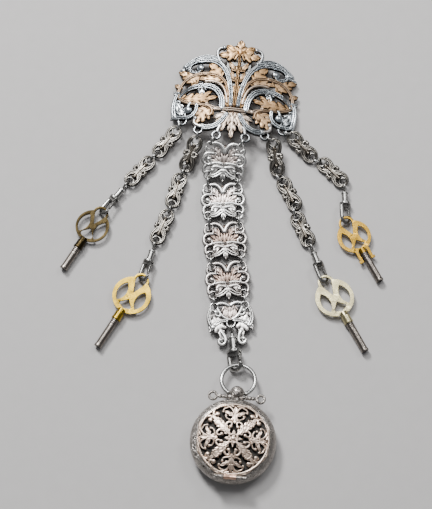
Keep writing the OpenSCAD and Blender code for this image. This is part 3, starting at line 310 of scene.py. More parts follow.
@dataclass(frozen=True)
class Metal:
    """A finished metal whose hollows are darker than its rubbed high places, from patina and from painted
    shade.

    Attributes:
        name: Name of the material.
        bright: Colour of the rubbed metal.
        hollow: Dark colour of the tarnish clouds and the engraved lines, and of the skin in the hollows,
            which is patina and painted shade.
        gilding: Colour of the gilt parts.
        roughness: Roughness of the rubbed metal.
        grain_mm: Size of the casting grain or of the fine wear.
        bump_mm: Height of that grain.
        ground: How dark its clouds get.
        cloud_mm: Size of the tarnish clouds.
        chased: Whether the piece is cast relief, with a crest and a share of gilding at each point.
        lines_mm: Spacing of engraved lines, or 0 for none.
        satin: How much rougher the matt gilding is than the silver.
        skin: How far the dark skin of patina and painted shade reaches up from the hollows.
    """

    name: str
    bright: str
    hollow: str = "#1d1b1a"
    gilding: str = "#e0b78d"
    roughness: float = 0.26
    grain_mm: float = 0.5
    bump_mm: float = 0.02
    ground: Ground = Ground.BLACKENED
    cloud_mm: float = 5.0
    chased: bool = False
    lines_mm: float = 0.0
    satin: float = 0.2
    skin: float = 0.0

    @cache
    def build(self) -> bpy.types.Material:
        """Builds the material's nodes, once for all the pieces that wear it.

        Returns:
            The material.
        """
        material = bpy.data.materials.new(self.name)
        material.use_nodes = True
        tree = material.node_tree
        tree.nodes.clear()
        spot = add_node(tree, "ShaderNodeTexCoord")
        place = spot.outputs["Object"]
        cloud_look = {"Scale": 1 / (self.cloud_mm * MM), "Detail": 4.0, "Roughness": 0.6}
        clouds = add_node(tree, "ShaderNodeTexNoise", cloud_look, Vector=place).outputs["Fac"]
        grain_look = {"Scale": 1 / (self.grain_mm * MM), "Detail": 3.0, "Roughness": 0.55}
        grain = add_node(tree, "ShaderNodeTexNoise", grain_look, Vector=place).outputs["Fac"]
        # Tarnish clouds dull the metal a little and leave it less smooth
        dull = add_node(tree, "ShaderNodeMapRange", {1: 0.38, 2: 0.72, 4: self.ground.value}, Value=clouds)
        bare = {"data_type": "RGBA", 6: shade_of(self.bright), 7: shade_of(self.hollow)}
        tarnish = add_node(tree, "ShaderNodeMix", bare, i0=dull.outputs["Result"])
        colour = tarnish.outputs[2]
        sheen = {1: 0.3, 2: 0.7, 3: self.roughness - 0.05, 4: self.roughness + 0.12}
        rough = add_node(tree, "ShaderNodeMapRange", sheen, Value=clouds).outputs["Result"]
        if self.chased:
            gilt = add_node(tree, "ShaderNodeAttribute", {"attribute_name": "gilt"}).outputs["Fac"]
            plating = {"data_type": "RGBA", 6: shade_of(self.bright), 7: shade_of(self.gilding)}
            tree.links.new(add_node(tree, "ShaderNodeMix", plating, i0=gilt).outputs[2], tarnish.inputs[6])
            matt = {"operation": "MULTIPLY_ADD", 1: self.satin}
            rough = add_node(tree, "ShaderNodeMath", matt, i0=gilt, i2=rough).outputs[0]
            colour = self.shade_and_patina_hollows(tree, colour, grain, spot.outputs["Normal"])
        height = grain
        if self.lines_mm:
            colour, height = self.engrave(tree, colour, grain, place)
        depth = {"Distance": self.bump_mm * MM, "Strength": 1.0}
        bump = add_node(tree, "ShaderNodeBump", depth, Height=height).outputs["Normal"]
        look = {"Base_Color": colour, "Roughness": rough, "Normal": bump}
        shader = add_node(tree, "ShaderNodeBsdfPrincipled", {"Metallic": 1.0}, **look)
        add_node(tree, "ShaderNodeOutputMaterial", {}, Surface=shader.outputs["BSDF"])
        return material

    def shade_and_patina_hollows(self, tree: bpy.types.NodeTree, colour: Socket, grain: Socket, normal: Socket) -> Socket:
        """Lays the dark skin into the hollows, patina and painted shade, worn unevenly at its upper edge.

        Args:
            tree: The material's node tree.
            colour: Colour of the metal.
            grain: The casting grain.
            normal: The piece's own surface direction.

        Returns:
            The colour with its dark hollows.
        """
        crest = add_node(tree, "ShaderNodeAttribute", {"attribute_name": "crest"}).outputs["Fac"]
        wear = {"operation": "MULTIPLY_ADD", 1: GRAIN_WEAR, 2: -GRAIN_WEAR / 2}
        worn = add_node(tree, "ShaderNodeMath", wear, i0=grain).outputs[0]
        high = add_node(tree, "ShaderNodeMath", {"operation": "ADD"}, i0=crest, i1=worn).outputs[0]
        reach = {1: SKIN_WHOLE + self.skin, 2: SKIN_GONE + self.skin, 3: 1.0, 4: 0.0}
        shade_and_patina_reach = add_node(tree, "ShaderNodeMapRange", reach, Value=high).outputs["Result"]
        # The plain back is bare metal: only the front's hollows get the painted shade and patina
        way = add_node(tree, "ShaderNodeSeparateXYZ", {}, Vector=normal).outputs["Z"]
        front = add_node(tree, "ShaderNodeMapRange", {1: -0.8, 2: -0.5}, Value=way).outputs["Result"]
        front_shade_and_patina = add_node(tree, "ShaderNodeMath", {"operation": "MULTIPLY"}, i0=shade_and_patina_reach, i1=front).outputs[0]
        ink = {"data_type": "RGBA", 7: shade_of(self.hollow)}
        # Mixes in the hollow colour: painted shade in the recesses, together with the patina
        return add_node(tree, "ShaderNodeMix", ink, i0=front_shade_and_patina, i6=colour).outputs[2]

    def engrave(
        self, tree: bpy.types.NodeTree, colour: Socket, grain: Socket, place: Socket
    ) -> tuple[Socket, Socket]:
        """Cuts curling engraved lines that hold the dark, between rubbed lands.

        Args:
            tree: The material's node tree.
            colour: Colour of the metal.
            grain: The fine wear.
            place: Place on the piece.

        Returns:
            The colour and the height of the surface.
        """
        curl_look = {"Scale": 1 / (self.lines_mm * 3 * MM), "Detail": 1.0, "Distortion": 1.5}
        curl = add_node(tree, "ShaderNodeTexNoise", curl_look, Vector=place).outputs["Fac"]
        cuts = add_node(tree, "ShaderNodeMath", {"operation": "PINGPONG", 1: 0.06}, i0=curl).outputs[0]
        land = add_node(tree, "ShaderNodeMapRange", {1: 0.008, 2: 0.034}, Value=cuts).outputs["Result"]
        ink = {"data_type": "RGBA", 6: shade_of(self.hollow)}
        lined = add_node(tree, "ShaderNodeMix", ink, i0=land, i7=colour).outputs[2]
        roll = {"operation": "MULTIPLY_ADD", 1: 0.35}
        return lined, add_node(tree, "ShaderNodeMath", roll, i0=grain, i2=land).outputs[0]


# Sterling silver with matt gilt leaves, cast, chased and oxidised: bright ribs over near-black hollows of
# oxide and painted shade
PARCEL_GILT = Metal(
    "parcel_gilt_cast_silver", "#cad2d8", "#120e0c", "#b98e58", 0.22, 0.45, 0.006, chased=True, skin=0.2
)
# Sterling silver, cast and chased, oxidised, with oxide and painted shade in its hollows: white crests
# with a warm blush on the leaves
CAST_SILVER = Metal(
    "cast_silver_oxide_painted_shade", "#f2f1ee", "#121010", "#d8a688", 0.26, 0.45, 0.004, chased=True, skin=0.22
)
# The lower panels keep more of a rose gilding, and a dimmer silver with more of the dark skin paints shade
# on them, so they look darker and browner
ROSE_SILVER_SHADED = Metal(
    "rose_gilt_silver_painted_shade", "#d6d0cc", "#151211", "#a87c60", 0.26, 0.45, 0.006, chased=True, skin=0.32
)
# Cast silver links with a dimmer silver and more of the dark skin, patina and painted shade, so the chains
# look grey
LINK_SILVER = Metal(
    "link_silver_oxide_painted_shade", "#a5a29c", "#12100f", "#a58e70", 0.22, 0.4, 0.01, chased=True, skin=0.34
)
# Sawn and chased silver cover, rubbed to a warm rose white, with oxide and painted shade in its hollows,
# over the inside painted dark for shade
COVER_SILVER = Metal(
    "pierced_cover_silver", "#f6e0cd", "#151211", "#dba88c", 0.26, 0.4, 0.005, chased=True, skin=0.08
)
# Drawn silver wire, polished by wear: smooth grey with narrow bright lines
WIRE_SILVER = Metal("drawn_silver_wire", "#bdbdbb", "#24211f", roughness=0.2, grain_mm=0.8, bump_mm=0.008)
# Turned silver of the swivels, darker and a little duller than the wire
TURNED_SILVER = Metal("turned_silver", "#9f9e9b", "#201d1b", roughness=0.22, grain_mm=0.8, bump_mm=0.008)
# Engraved and handled silver case: warm grey, with dark curling lines
CASE_SILVER = Metal(
    "engraved_case_silver", "#cdc6bf", "#1f1b18", roughness=0.28, grain_mm=0.6, bump_mm=0.05,
    cloud_mm=3.0, lines_mm=0.6,
)
# Cast bronze with a brown patina: dark, with a dull shine
DARK_BRONZE = Metal("patinated_bronze", "#352d1c", "#120e08", roughness=0.3, grain_mm=0.7, bump_mm=0.03)
# Stamped yellow brass, lightly tarnished: a soft yellow face
YELLOW_BRASS = Metal(
    "yellow_brass", "#a0842a", "#4a3816", roughness=0.26, ground=Ground.SOFT, bump_mm=0.02, cloud_mm=4.0
)
# Brass with a pale, almost silvery face, which is partly a painted reflection of the lamp
PALE_BRASS_REFLECTION = Metal(
    "pale_brass_painted_reflection", "#bcb38c", "#5e5338", roughness=0.28, ground=Ground.SOFT, bump_mm=0.02, cloud_mm=4.0
)
# Polished brass with more copper: golden
GOLDEN_BRASS = Metal(
    "golden_brass", "#a5822f", "#4a3616", roughness=0.25, ground=Ground.SOFT, bump_mm=0.02, cloud_mm=4.0
)
# Turned steel of the pipes, greyed by handling
KEY_STEEL = Metal(
    "turned_steel", "#857e77", "#1f1b18", roughness=0.27, grain_mm=0.5, bump_mm=0.015, cloud_mm=3.0
)
# Steel plate behind the pierced cover, near black for the painted shade inside the case, smooth enough for
# a faint shine
INNER_PLATE_SHADE = Metal("inner_plate_painted_shade", "#302e2c", "#0e0d0c", roughness=0.36, grain_mm=0.6, bump_mm=0.01)


def curve_point(points: Sequence[Pair], t: float) -> Vector:
    """Finds a point of a cubic curve.

    Args:
        points: Its four control points.
        t: Share of the way along it.

    Returns:
        The point.
    """
    a, b, c, d = (Vector(p) for p in points)
    s = 1 - t
    return a * s**3 + b * 3 * s * s * t + c * 3 * s * t * t + d * t**3


def curve_side(points: Sequence[Pair], t: float) -> Vector:
    """Finds the direction across a cubic curve.

    Args:
        points: Its four control points.
        t: Share of the way along it.

    Returns:
        The unit vector to the left of the curve's direction.
    """
    a, b, c, d = (Vector(p) for p in points)
    s = 1 - t
    way = (b - a) * s * s + (c - b) * 2 * s * t + (d - c) * t * t
    return Vector((-way.y, way.x)).normalized()


@dataclass
class Relief:
    """Cast ornament under construction, on its own flat drawing in millimetres.

    Attributes:
        wall: Height of the metal's edge.
        rise: Height of the relief over the edge.
        holes: Middle and radius of each hole that stays clear.
        split_deg: Angle from which an edge shows as sharp.
        points, faces: What has been drawn so far.
        crest: For each point, 0 in a hollow to 1 on a crest.
        gilt: For each point, its share of gilding.
    """

    wall: float
    rise: float
    holes: list[tuple[float, float, float]] = field(default_factory=list)
    split_deg: float = 50.0
    points: list[Vector] = field(default_factory=list)
    faces: list[tuple[int, ...]] = field(default_factory=list)
    crest: list[float] = field(default_factory=list)
    gilt: list[float] = field(default_factory=list)

    def add(self, x: float, y: float, h: float, crest: float, gilt: float) -> int:
        """Adds a point, kept out of the holes.

        Args:
            x: Place across the drawing.
            y: Place up the drawing.
            h: Height over the underside.
            crest: 0 in a hollow to 1 on a crest.
            gilt: Share of gilding.

        Returns:
            The point's number.
        """
        for hx, hy, r in self.holes:
            far = math.hypot(x - hx, y - hy)
            if far < r:
                way = max(far, 1e-6)
                x = hx + (x - hx) * r / way
                y = hy + (y - hy) * r / way
        self.points.append(Vector((x, y, h)))
        self.crest.append(crest)
        self.gilt.append(gilt)
        return len(self.points) - 1

    def skin(self, rows: list[list[int]], closed: bool = False) -> None:
        """Joins rows of points into one closed skin.

        Args:
            rows: Rows of point numbers, each a loop round the piece.
            closed: Whether the last row joins the first.
        """
        count = len(rows)
        for i in range(count if closed else count - 1):
            a, b = rows[i], rows[(i + 1) % count]
            for k in range(len(a)):
                n = (k + 1) % len(a)
                self.faces.append((a[k], a[n], b[n], b[k]))
        if not closed:
            self.faces.append(tuple(reversed(rows[0])))
            self.faces.append(tuple(rows[-1]))

    def section(
        self, middle: Vector, side: Vector, half: float, rise: float, ribs: int, gilt: float, steps: int
    ) -> list[int]:
        """One cross-section of a rounded, ribbed stem.

        Args:
            middle: Point on the stem's line.
            side: Direction across it.
            half: Half its width.
            rise: Height over the wall.
            ribs: Ribs side by side.
            gilt: Share of gilding.
            steps: Spaces across the section.

        Returns:
            The section's point numbers, as a loop.
        """
        loop = []
        for k in range(steps + 1):
            v = -1 + 2 * k / steps
            dome = math.sqrt(max(0.0, 1 - v * v))
            rib = abs(math.sin(math.pi * ribs * (v + 1) / 2)) if ribs > 1 else 1.0
            h = self.wall + rise * dome * (0.62 + 0.38 * rib)
            # Low crest on the flanks and cut edges gets the hollow colour: patina and painted shade
            crest = dome**0.6 * (0.15 + 0.85 * rib**0.7)
            p = middle + side * (half * v)
            loop.append(self.add(p.x, p.y, h, crest, gilt))
        for v in (1, -1):
            p = middle + side * (half * v)
            loop.append(self.add(p.x, p.y, 0, 0, gilt))
        return loop

    def stem(self, row: Stem, unit: float, flip: float = 1.0, steps: int = 18) -> None:
        """A tapering stem with rounded ends.

        Args:
            row: The stem's row of its table, in drawing units.
            unit: Length of a unit in millimetres.
            flip: -1 for the mirrored side.
            steps: Spaces along it.
        """
        curve = [(x * unit * flip, y * unit) for x, y in row.curve]
        rise = self.rise * (1 + row.lift)
        across = 8 if row.ribs == 1 else 6 * row.ribs
        rows = []
        for i in range(steps + 1):
            t = i / steps
            half = (row.start_w + (row.end_w - row.start_w) * t) * unit / 2
            middle, side = curve_point(curve, t), curve_side(curve, t)
            rows.append(self.section(middle, side, half, rise, row.ribs, row.gilt, across))
        self.skin(rows)
        for end, r in ((curve[0], row.start_w / 2), (curve[3], max(row.end_w / 2, row.ball))):
            self.button(end, r * unit, rise * (1.25 if r == row.ball else 0.95), row.gilt)

    def button(self, middle: Pair, r: float, rise: float, gilt: float) -> None:
        """A round boss.

        Args:
            middle: Its middle.
            r: Its radius.
            rise: Height over the wall.
            gilt: Share of gilding.
        """
        upper = [(self.wall + rise * up, share) for up, share in BOSS_PROFILE]
        rows = []
        for h, share in [(0, 1), (self.wall, 1), *upper]:
            crest = max(0.0, (h - self.wall) / rise) ** 0.6
            loop = []
            for k in range(BOSS_AROUND):
                angle = math.tau * k / BOSS_AROUND
                x = middle[0] + r * share * math.cos(angle)
                y = middle[1] + r * share * math.sin(angle)
                loop.append(self.add(x, y, h, crest, gilt))
            rows.append(loop)
        self.skin(rows)

    def ring(self, middle: Pair, r: float, half: float, rise: float, gilt: float, steps: int = 28) -> None:
        """A rounded ring round a hole.

        Args:
            middle: Its middle.
            r: Mean radius.
            half: Half the width of its metal.
            rise: Height over the wall.
            gilt: Share of gilding.
            steps: Points round it.
        """
        rows = []
        for k in range(steps):
            side = Vector((math.cos(math.tau * k / steps), math.sin(math.tau * k / steps)))
            rows.append(self.section(Vector(middle) + side * r, side, half, rise, 1, gilt, 6))
        self.skin(rows, closed=True)

    def leaf(self, row: Leaf, unit: float, flip: float = 1.0) -> None:
        """A lobed leaf with a midrib and a vein in each lobe.

        Args:
            row: The leaf's row of its table, in drawing units.
            unit: Length of a unit in millimetres.
            flip: -1 for the mirrored side.
        """
        base = Vector((row.base[0] * unit * flip, row.base[1] * unit))
        tip = Vector((row.tip[0] * unit * flip, row.tip[1] * unit))
        way = tip - base
        side = Vector((-way.y, way.x)).normalized()
        steps = row.lobes * LOBE_STEPS
        rise = self.rise * (0.8 + row.lift)
        rows = []
        for i in range(steps + 1):
            t = i / steps
            middle = base + way * t + side * (row.bend * flip * unit * 4 * t * (1 - t))
            # Each lobe widens toward its point and falls back fast to the notch behind the next
            lobe = math.sin(math.pi * (row.lobes * t % 1) ** 1.6) ** 0.7
            outline = math.sin(math.pi * t**0.75) ** 0.8 * (0.66 + 0.38 * lobe) if 0 < t < 1 else 0.0
            half = max(row.width * unit / 2 * outline, LEAF_END)
            rows.append(self.leaf_section(row, middle, side * half, rise, t))
        self.skin(rows)

    def leaf_section(self, row: Leaf, middle: Vector, half: Vector, rise: float, t: float) -> list[int]:
        """One cross-section of a leaf, with the cuts between its lobes.

        Args:
            row: The leaf's row of its table.
            middle: Point on the midrib.
            half: From there to the leaf's edge.
            rise: Height over the wall.
            t: Share of the way from base to tip.

        Returns:
            The section's point numbers, as a loop.
        """
        loop = []
        for k in range(LEAF_ACROSS + 1):
            v = -1 + 2 * k / LEAF_ACROSS
            cut = abs(math.sin(math.pi * (row.lobes * t + CUT_BACK * (1 - abs(v)))))
            dome = math.sqrt(max(0.0, 1 - v**4))
            spine = math.exp(-((v / SPINE) ** 2))
            gutter = math.exp(-(((abs(v) - GUTTER_AT) / GUTTER) ** 2))
            body = dome * (0.22 + 0.5 * cut**0.7 * abs(v) ** 0.3)
            h = self.wall + rise * (body + 0.55 * spine * (1 - t) - 0.12 * gutter)
            # Low crest in the gutters and at the edges gets the hollow colour: patina and painted shade
            rubbed = dome**0.5 * (0.1 + 0.8 * min(1.0, cut * 1.7)) * (1 - 0.45 * gutter)
            crest = min(1.0, rubbed + 0.6 * spine) * (0.2 if abs(v) == 1 else 1)
            p = middle + half * v
            loop.append(self.add(p.x, p.y, max(h, self.wall * 0.9), crest, row.gilt))
        for v in (1, -1):
            p = middle + half * v
            loop.append(self.add(p.x, p.y, 0, 0, row.gilt))
        return loop

    def turn_from(self, start: int, degrees: float) -> None:
        """Turns the points made since a given one round the drawing's middle.

        Args:
            start: Number of the first point that turns.
            degrees: Its turn, counted anticlockwise.
        """
        turn = Matrix.Rotation(math.radians(degrees), 3, "Z")
        self.points[start:] = [turn @ p for p in self.points[start:]]

    def ornament(
        self, stems: Sequence[Stem], leaves: Sequence[Leaf], middle: Sequence[Leaf], unit: float
    ) -> None:
        """Both halves of a mirrored drawing, and what stands in its middle.

        Args:
            stems: Stems of the right half.
            leaves: Leaves of the right half.
            middle: Leaves on the middle line.
            unit: Length of a unit in millimetres.
        """
        for flip in (1.0, -1.0):
            for row in stems:
                self.stem(row, unit, flip)
            for row in leaves:
                self.leaf(row, unit, flip)
        for row in middle:
            self.leaf(row, unit)

    def build(self, name: str, bend: Callable[[Vector], Vector], finish: Metal) -> bpy.types.Object:
        """Makes the object.

        Args:
            name: Name of the piece.
            bend: Takes a point of the drawing, with its height, to its place in millimetres.
            finish: Its metal.

        Returns:
            The object.
        """
        mesh = bpy.data.meshes.new(name)
        mesh.from_pydata([bend(p) * MM for p in self.points], [], self.faces)
        for label, values in (("crest", self.crest), ("gilt", self.gilt)):
            mesh.attributes.new(label, "FLOAT", "POINT").data.foreach_set("value", values)
        mesh.polygons.foreach_set("use_smooth", [True] * len(mesh.polygons))
        mesh.materials.append(finish.build())
        mesh.update()
        piece = bpy.data.objects.new(name, mesh)
        bpy.context.scene.collection.objects.link(piece)
        edges = piece.modifiers.new("keep_edges", "EDGE_SPLIT")
        edges.split_angle = math.radians(self.split_deg)
        LOG.info("%s: %d faces", name, len(self.faces))
        return piece


# Down to the solids, sizes are in millimetres and angles in degrees. A drawing has units of its own:
# drawn is its whole size in them, and the places of the plaque's eyes and the terminal's drop are too.
# The cut edges stand up by wall_share of a plate's thickness. Every rise or relief counts from there.


@dataclass
class Plaque:
    """Curved parcel-gilt plaque that the chains and the band hang from."""

    finish: Metal = PARCEL_GILT
    width: float = 63.0
    drawn: float = 64.0
    thick: float = 1.2
    wall_share: float = 0.8
    relief: float = 0.9
    curve: float = 80.0
    tilt: float = 3.0
    at: tuple[float, float, float] = (6.2, 74.9, 8.366)
    turn: float = -6.2
    hole_r: float = 1.5
    rim: float = 0.9
    rim_rise: float = 0.35
    eyes: tuple[Pair, ...] = ((25.5, -7.8), (16.9, -12.6), (7.4, -15.4))

    def bend(self, p: Vector) -> Vector:
        """Takes a point of the drawing to its place on the curved plaque.

        Args:
            p: Point of the drawing, with its height.

        Returns:
            Its place in millimetres.
        """
        sag = self.curve - math.sqrt(self.curve**2 - p.x * p.x)
        turn = Matrix.Rotation(math.radians(self.turn), 4, "Z")
        turn @= Matrix.Rotation(math.radians(-self.tilt), 4, "X")
        return Vector(self.at) + turn @ Vector((p.x, p.y, p.z - sag))

    def build(self) -> None:
        """Builds the plaque."""
        unit = self.width / self.drawn
        eyes = [(x * unit * s, y * unit) for x, y in self.eyes for s in (1, -1)]
        holes = [(x, y, self.hole_r) for x, y in eyes]
        cast = Relief(self.thick * self.wall_share, self.relief, holes)
        cast.ornament(PLAQUE_STEMS, PLAQUE_LEAVES, PLAQUE_MIDDLE, unit)
        cast.stem(PLAQUE_TIE, unit, steps=24)
        for x, y in eyes:
            cast.ring((x, y), self.hole_r + self.rim / 2, self.rim / 2, self.rim_rise, 0.1)
        piece = cast.build("plaque_relief", self.bend, self.finish)
        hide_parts("plaque")
        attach(piece, "chatelaine")


@dataclass
class Band:
    """Pierced panels and terminal. Those with more blush keep more of their gilding."""

    finish: Metal = CAST_SILVER
    blush: float = 1.0
    width: float = 21.3
    drawn: float = 21.3
    height: float = 19.0
    thick: float = 1.1
    wall_share: float = 0.85
    relief: float = 0.75
    hole_r: float = 1.5
    rim: float = 0.75
    rim_rise: float = 0.25
    drop: Pair = (0.0, -1.4)
    drop_rim: float = 0.9
    drop_rise: float = 0.3
    wire: float = 1.1
    clear: float = 0.35

    @property
    def span(self) -> float:
        """Length between the points where the rings pass."""
        return self.height - 2 * (self.rim + self.clear + self.wire / 2)

    def eye(self) -> Pair:
        """Place of a panel's upper right eye."""
        shift = self.hole_r - self.clear - self.wire / 2
        return ((self.width - 2 * (self.hole_r + self.rim)) / 2 - 1, self.span / 2 - shift)

    def build(self, name: str) -> None:
        """Builds a panel or the terminal.

        Args:
            name: The node that it stands for.
        """
        ends = (1,) if name == "band_terminal" else (1, -1)
        x, y = self.eye()
        eyes = [(x * s, y * e) for s in (1, -1) for e in ends]
        holes = [(u, v, self.hole_r) for u, v in eyes]
        unit = self.width / self.drawn
        wall = self.thick * self.wall_share
        if name == "band_terminal":
            drop = (self.drop[0] * unit, self.drop[1] * unit)
            cast = Relief(wall, self.relief, [*holes, (*drop, self.hole_r)])
            cast.ornament(TERMINAL_STEMS, TERMINAL_LEAVES, TERMINAL_MIDDLE, unit)
            cast.ring(drop, self.hole_r + self.drop_rim / 2, self.drop_rim / 2, self.drop_rise, 0)
        else:
            cast = Relief(wall, self.relief, holes)
            cast.ornament(PANEL_STEMS, PANEL_LEAVES, PANEL_MIDDLE, unit)
        for u, v in eyes:
            cast.ring((u, v), self.hole_r + self.rim / 2, self.rim / 2, self.rim_rise, 0)
        cast.gilt = [min(1.0, share * self.blush) for share in cast.gilt]
        lay = BAND_PLACES[name].matrix() @ Matrix.Translation((self.span / 2, 0, -self.thick / 2))
        lay @= Matrix.Rotation(math.radians(90), 4, "Z")
        piece = cast.build(f"{name}_relief", lambda p: lay @ p, self.finish)
        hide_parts(name)
        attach(piece, "chatelaine")


@dataclass
class ScrollLink:
    """Openwork link of a chain: two mirrored scrolls at each end and a boss in the middle."""

    finish: Metal = LINK_SILVER
    length: float = 19.5
    drawn: float = 18.0
    thick: float = 1.0
    wall_share: float = 0.8
    relief: float = 0.7
    boss_r: float = 1.1
    boss_rise: float = 0.9
    hole_r: float = 1.5
    rim: float = 0.9
    rim_rise: float = 0.3
    wire: float = 1.0
    clear: float = 0.35

    def build(self, name: str) -> None:
        """Builds a link.

        Args:
            name: The node that it stands for.
        """
        hole = self.length / 2 - self.rim - self.hole_r
        holes = [(hole, 0, self.hole_r), (-hole, 0, self.hole_r)]
        cast = Relief(self.thick * self.wall_share, self.relief, holes)
        stretch = self.length / self.drawn
        for row in LINK_STEMS:
            for end in (1, -1):
                for flip in (1, -1):
                    turned = tuple((x * stretch * end, y * flip) for x, y in row.curve)
                    cast.stem(row._replace(curve=turned), 1.0, steps=12)
        for x, y, r in holes:
            cast.ring((x, y), r + self.rim / 2, self.rim / 2, self.rim_rise, 0)
        cast.button((0, 0), self.boss_r, self.boss_rise, 0.2)
        span = self.length - 2 * (self.rim + self.clear + self.wire / 2)
        lay = LINK_PLACES[name].matrix() @ Matrix.Translation((span / 2, 0, -self.thick / 2))
        piece = cast.build(f"{name}_relief", lambda p: lay @ p, self.finish)
        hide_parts(name)
        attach(piece, "chatelaine")


@dataclass
class WatchCover:
    """Pierced and domed cover with its bezel and hinge knuckle."""

    finish: Metal = COVER_SILVER
    at: Pair = (5.278, -93.159)
    turn: float = -5.0
    top: float = 13.0
    radius: float = 17.1
    drawn: float = 17.1
    dome: float = 2.2
    thick: float = 0.9
    wall_share: float = 0.6
    relief: float = 0.42
    boss_r: float = 1.2
    boss_rise: float = 0.5
    bezel_w: float = 1.2
    bezel_rise: float = 0.45
    beads: int = 96
    bead_r: float = 0.34
    bead_rise: float = 0.62
    hinge: Pair = (-18.0, 11.15)
    knuckle_r: float = 1.1
    knuckle_half: float = 2.9
    strap: Pair = (1.9, 0.55)

    def lay(self, p: Vector) -> Vector:
        """Turns a point of the watch's own frame to its place on the table."""
        return Matrix.Rotation(math.radians(self.turn), 3, "Z") @ p + Vector((*self.at, 0))

    def bend(self, p: Vector) -> Vector:
        """Takes a point of the drawing to its place on the dome.

        Args:
            p: Point of the drawing, with its height.

        Returns:
            Its place in millimetres.
        """
        ball = (self.radius**2 + self.dome**2) / (2 * self.dome)
        far = min(math.hypot(p.x, p.y), self.radius)
        z = self.top - ball + math.sqrt(ball**2 - far**2) - self.thick + p.z
        return self.lay(Vector((p.x, p.y, z)))

    def openwork(self) -> bpy.types.Object:
        """Builds the pierced dome: four equal quarters with a leaf on each diagonal.

        Returns:
            The dome.
        """
        unit = self.radius / self.drawn
        cast = Relief(self.thick * self.wall_share, self.relief)
        for quarter in range(4):
            start = len(cast.points)
            cast.ornament(COVER_STEMS, COVER_LEAVES, COVER_MIDDLE, unit)
            cast.turn_from(start, 90 * quarter)
            start = len(cast.points)
            cast.leaf(COVER_DIAGONAL, unit)
            cast.turn_from(start, 90 * quarter + 45)
        cast.button((0, 0), self.boss_r, self.boss_rise, 0.1)
        return cast.build("cover_relief", self.bend, self.finish)

    def bezel(self) -> bpy.types.Object:
        """Builds the beaded bezel round the dome's edge.

        Returns:
            The bezel.
        """
        r = self.radius - self.bezel_w / 2
        cast = Relief(self.thick, 0.0)
        cast.ring((0, 0), r, self.bezel_w / 2, self.bezel_rise, 0, steps=160)
        for k in range(self.beads):
            angle = math.tau * k / self.beads
            middle = (r * math.cos(angle), r * math.sin(angle))
            cast.button(middle, self.bead_r, self.bead_rise, 0.05)
        lift = Vector((0, 0, self.top - self.dome - self.thick))
        return cast.build("cover_bezel", lambda p: self.lay(p + lift), self.finish)

    def knuckle(self) -> bpy.types.Object:
        """Builds the hinge knuckle with its strap.

        Returns:
            The knuckle.
        """
        y, z = self.hinge
        cast = Relief(0.0, 0.0)
        rows = []
        for along, share in KNUCKLE_PROFILE:
            r = self.knuckle_r * share
            loop = []
            for k in range(KNUCKLE_AROUND):
                angle = math.tau * k / KNUCKLE_AROUND
                up, over = y + r * math.cos(angle), z + r * math.sin(angle)
                loop.append(cast.add(along * self.knuckle_half, up, over, 0.8, 0.6))
            rows.append(loop)
        cast.skin(rows)
        far, low = y + self.strap[0], z - self.strap[1]
        rows = []
        for x in (-self.knuckle_half, self.knuckle_half):
            corners = ((y, low), (y, z), (far, z), (far, low))
            rows.append([cast.add(x, up, over, 0.6, 0.3) for up, over in corners])
        cast.skin(rows)
        return cast.build("cover_knuckle", self.lay, self.finish)

    def build(self) -> None:
        """Builds the cover."""
        pieces = [self.openwork(), self.bezel(), self.knuckle()]
        for piece in pieces:
            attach(piece, "watch_cover")
        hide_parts("watch_cover")


@dataclass
class Solids:
    """The carried-over solids: rings, swivels, keys, hook and case, each given its metal.

    Keys, hooks and gates get eased edges, wider on the key bows. Points nearer than weld are joined.
    """

    weld: float = 0.002
    ease: float = 0.12
    bow_share: float = 1.2
    ease_deg: float = 40.0
    flat_weight: int = 90
    split_deg: float = 38.0

    def dress(self, name: str, finish: Metal) -> None:
        """Gives a node its metal and softened edges.

        Args:
            name: The node.
            finish: Its metal.
        """
        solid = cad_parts[name]
        solid.data.materials.clear()
        solid.data.materials.append(finish.build())
        for polygon in solid.data.polygons:
            polygon.use_smooth = True
            polygon.material_index = 0
        seams = solid.modifiers.new("joined_seams", "WELD")
        seams.merge_threshold = self.weld * MM
        if name.endswith(("_key_bow", "_clip", "_gate", "_pipe")):
            ease = solid.modifiers.new("eased_edges", "BEVEL")
            ease.width = self.ease * MM * (self.bow_share if name.endswith("_key_bow") else 1)
            ease.segments = 2
            ease.limit_method = "ANGLE"
            ease.angle_limit = math.radians(self.ease_deg)
            ease.use_clamp_overlap = True
            flats = solid.modifiers.new("flat_faces_stay_flat", "WEIGHTED_NORMAL")
            flats.mode = "FACE_AREA_WITH_ANGLE"
            flats.weight = self.flat_weight
        else:
            split = solid.modifiers.new("keep_edges", "EDGE_SPLIT")
            split.split_angle = math.radians(self.split_deg)
        LOG.info("%s dressed in %s", name, finish.name)


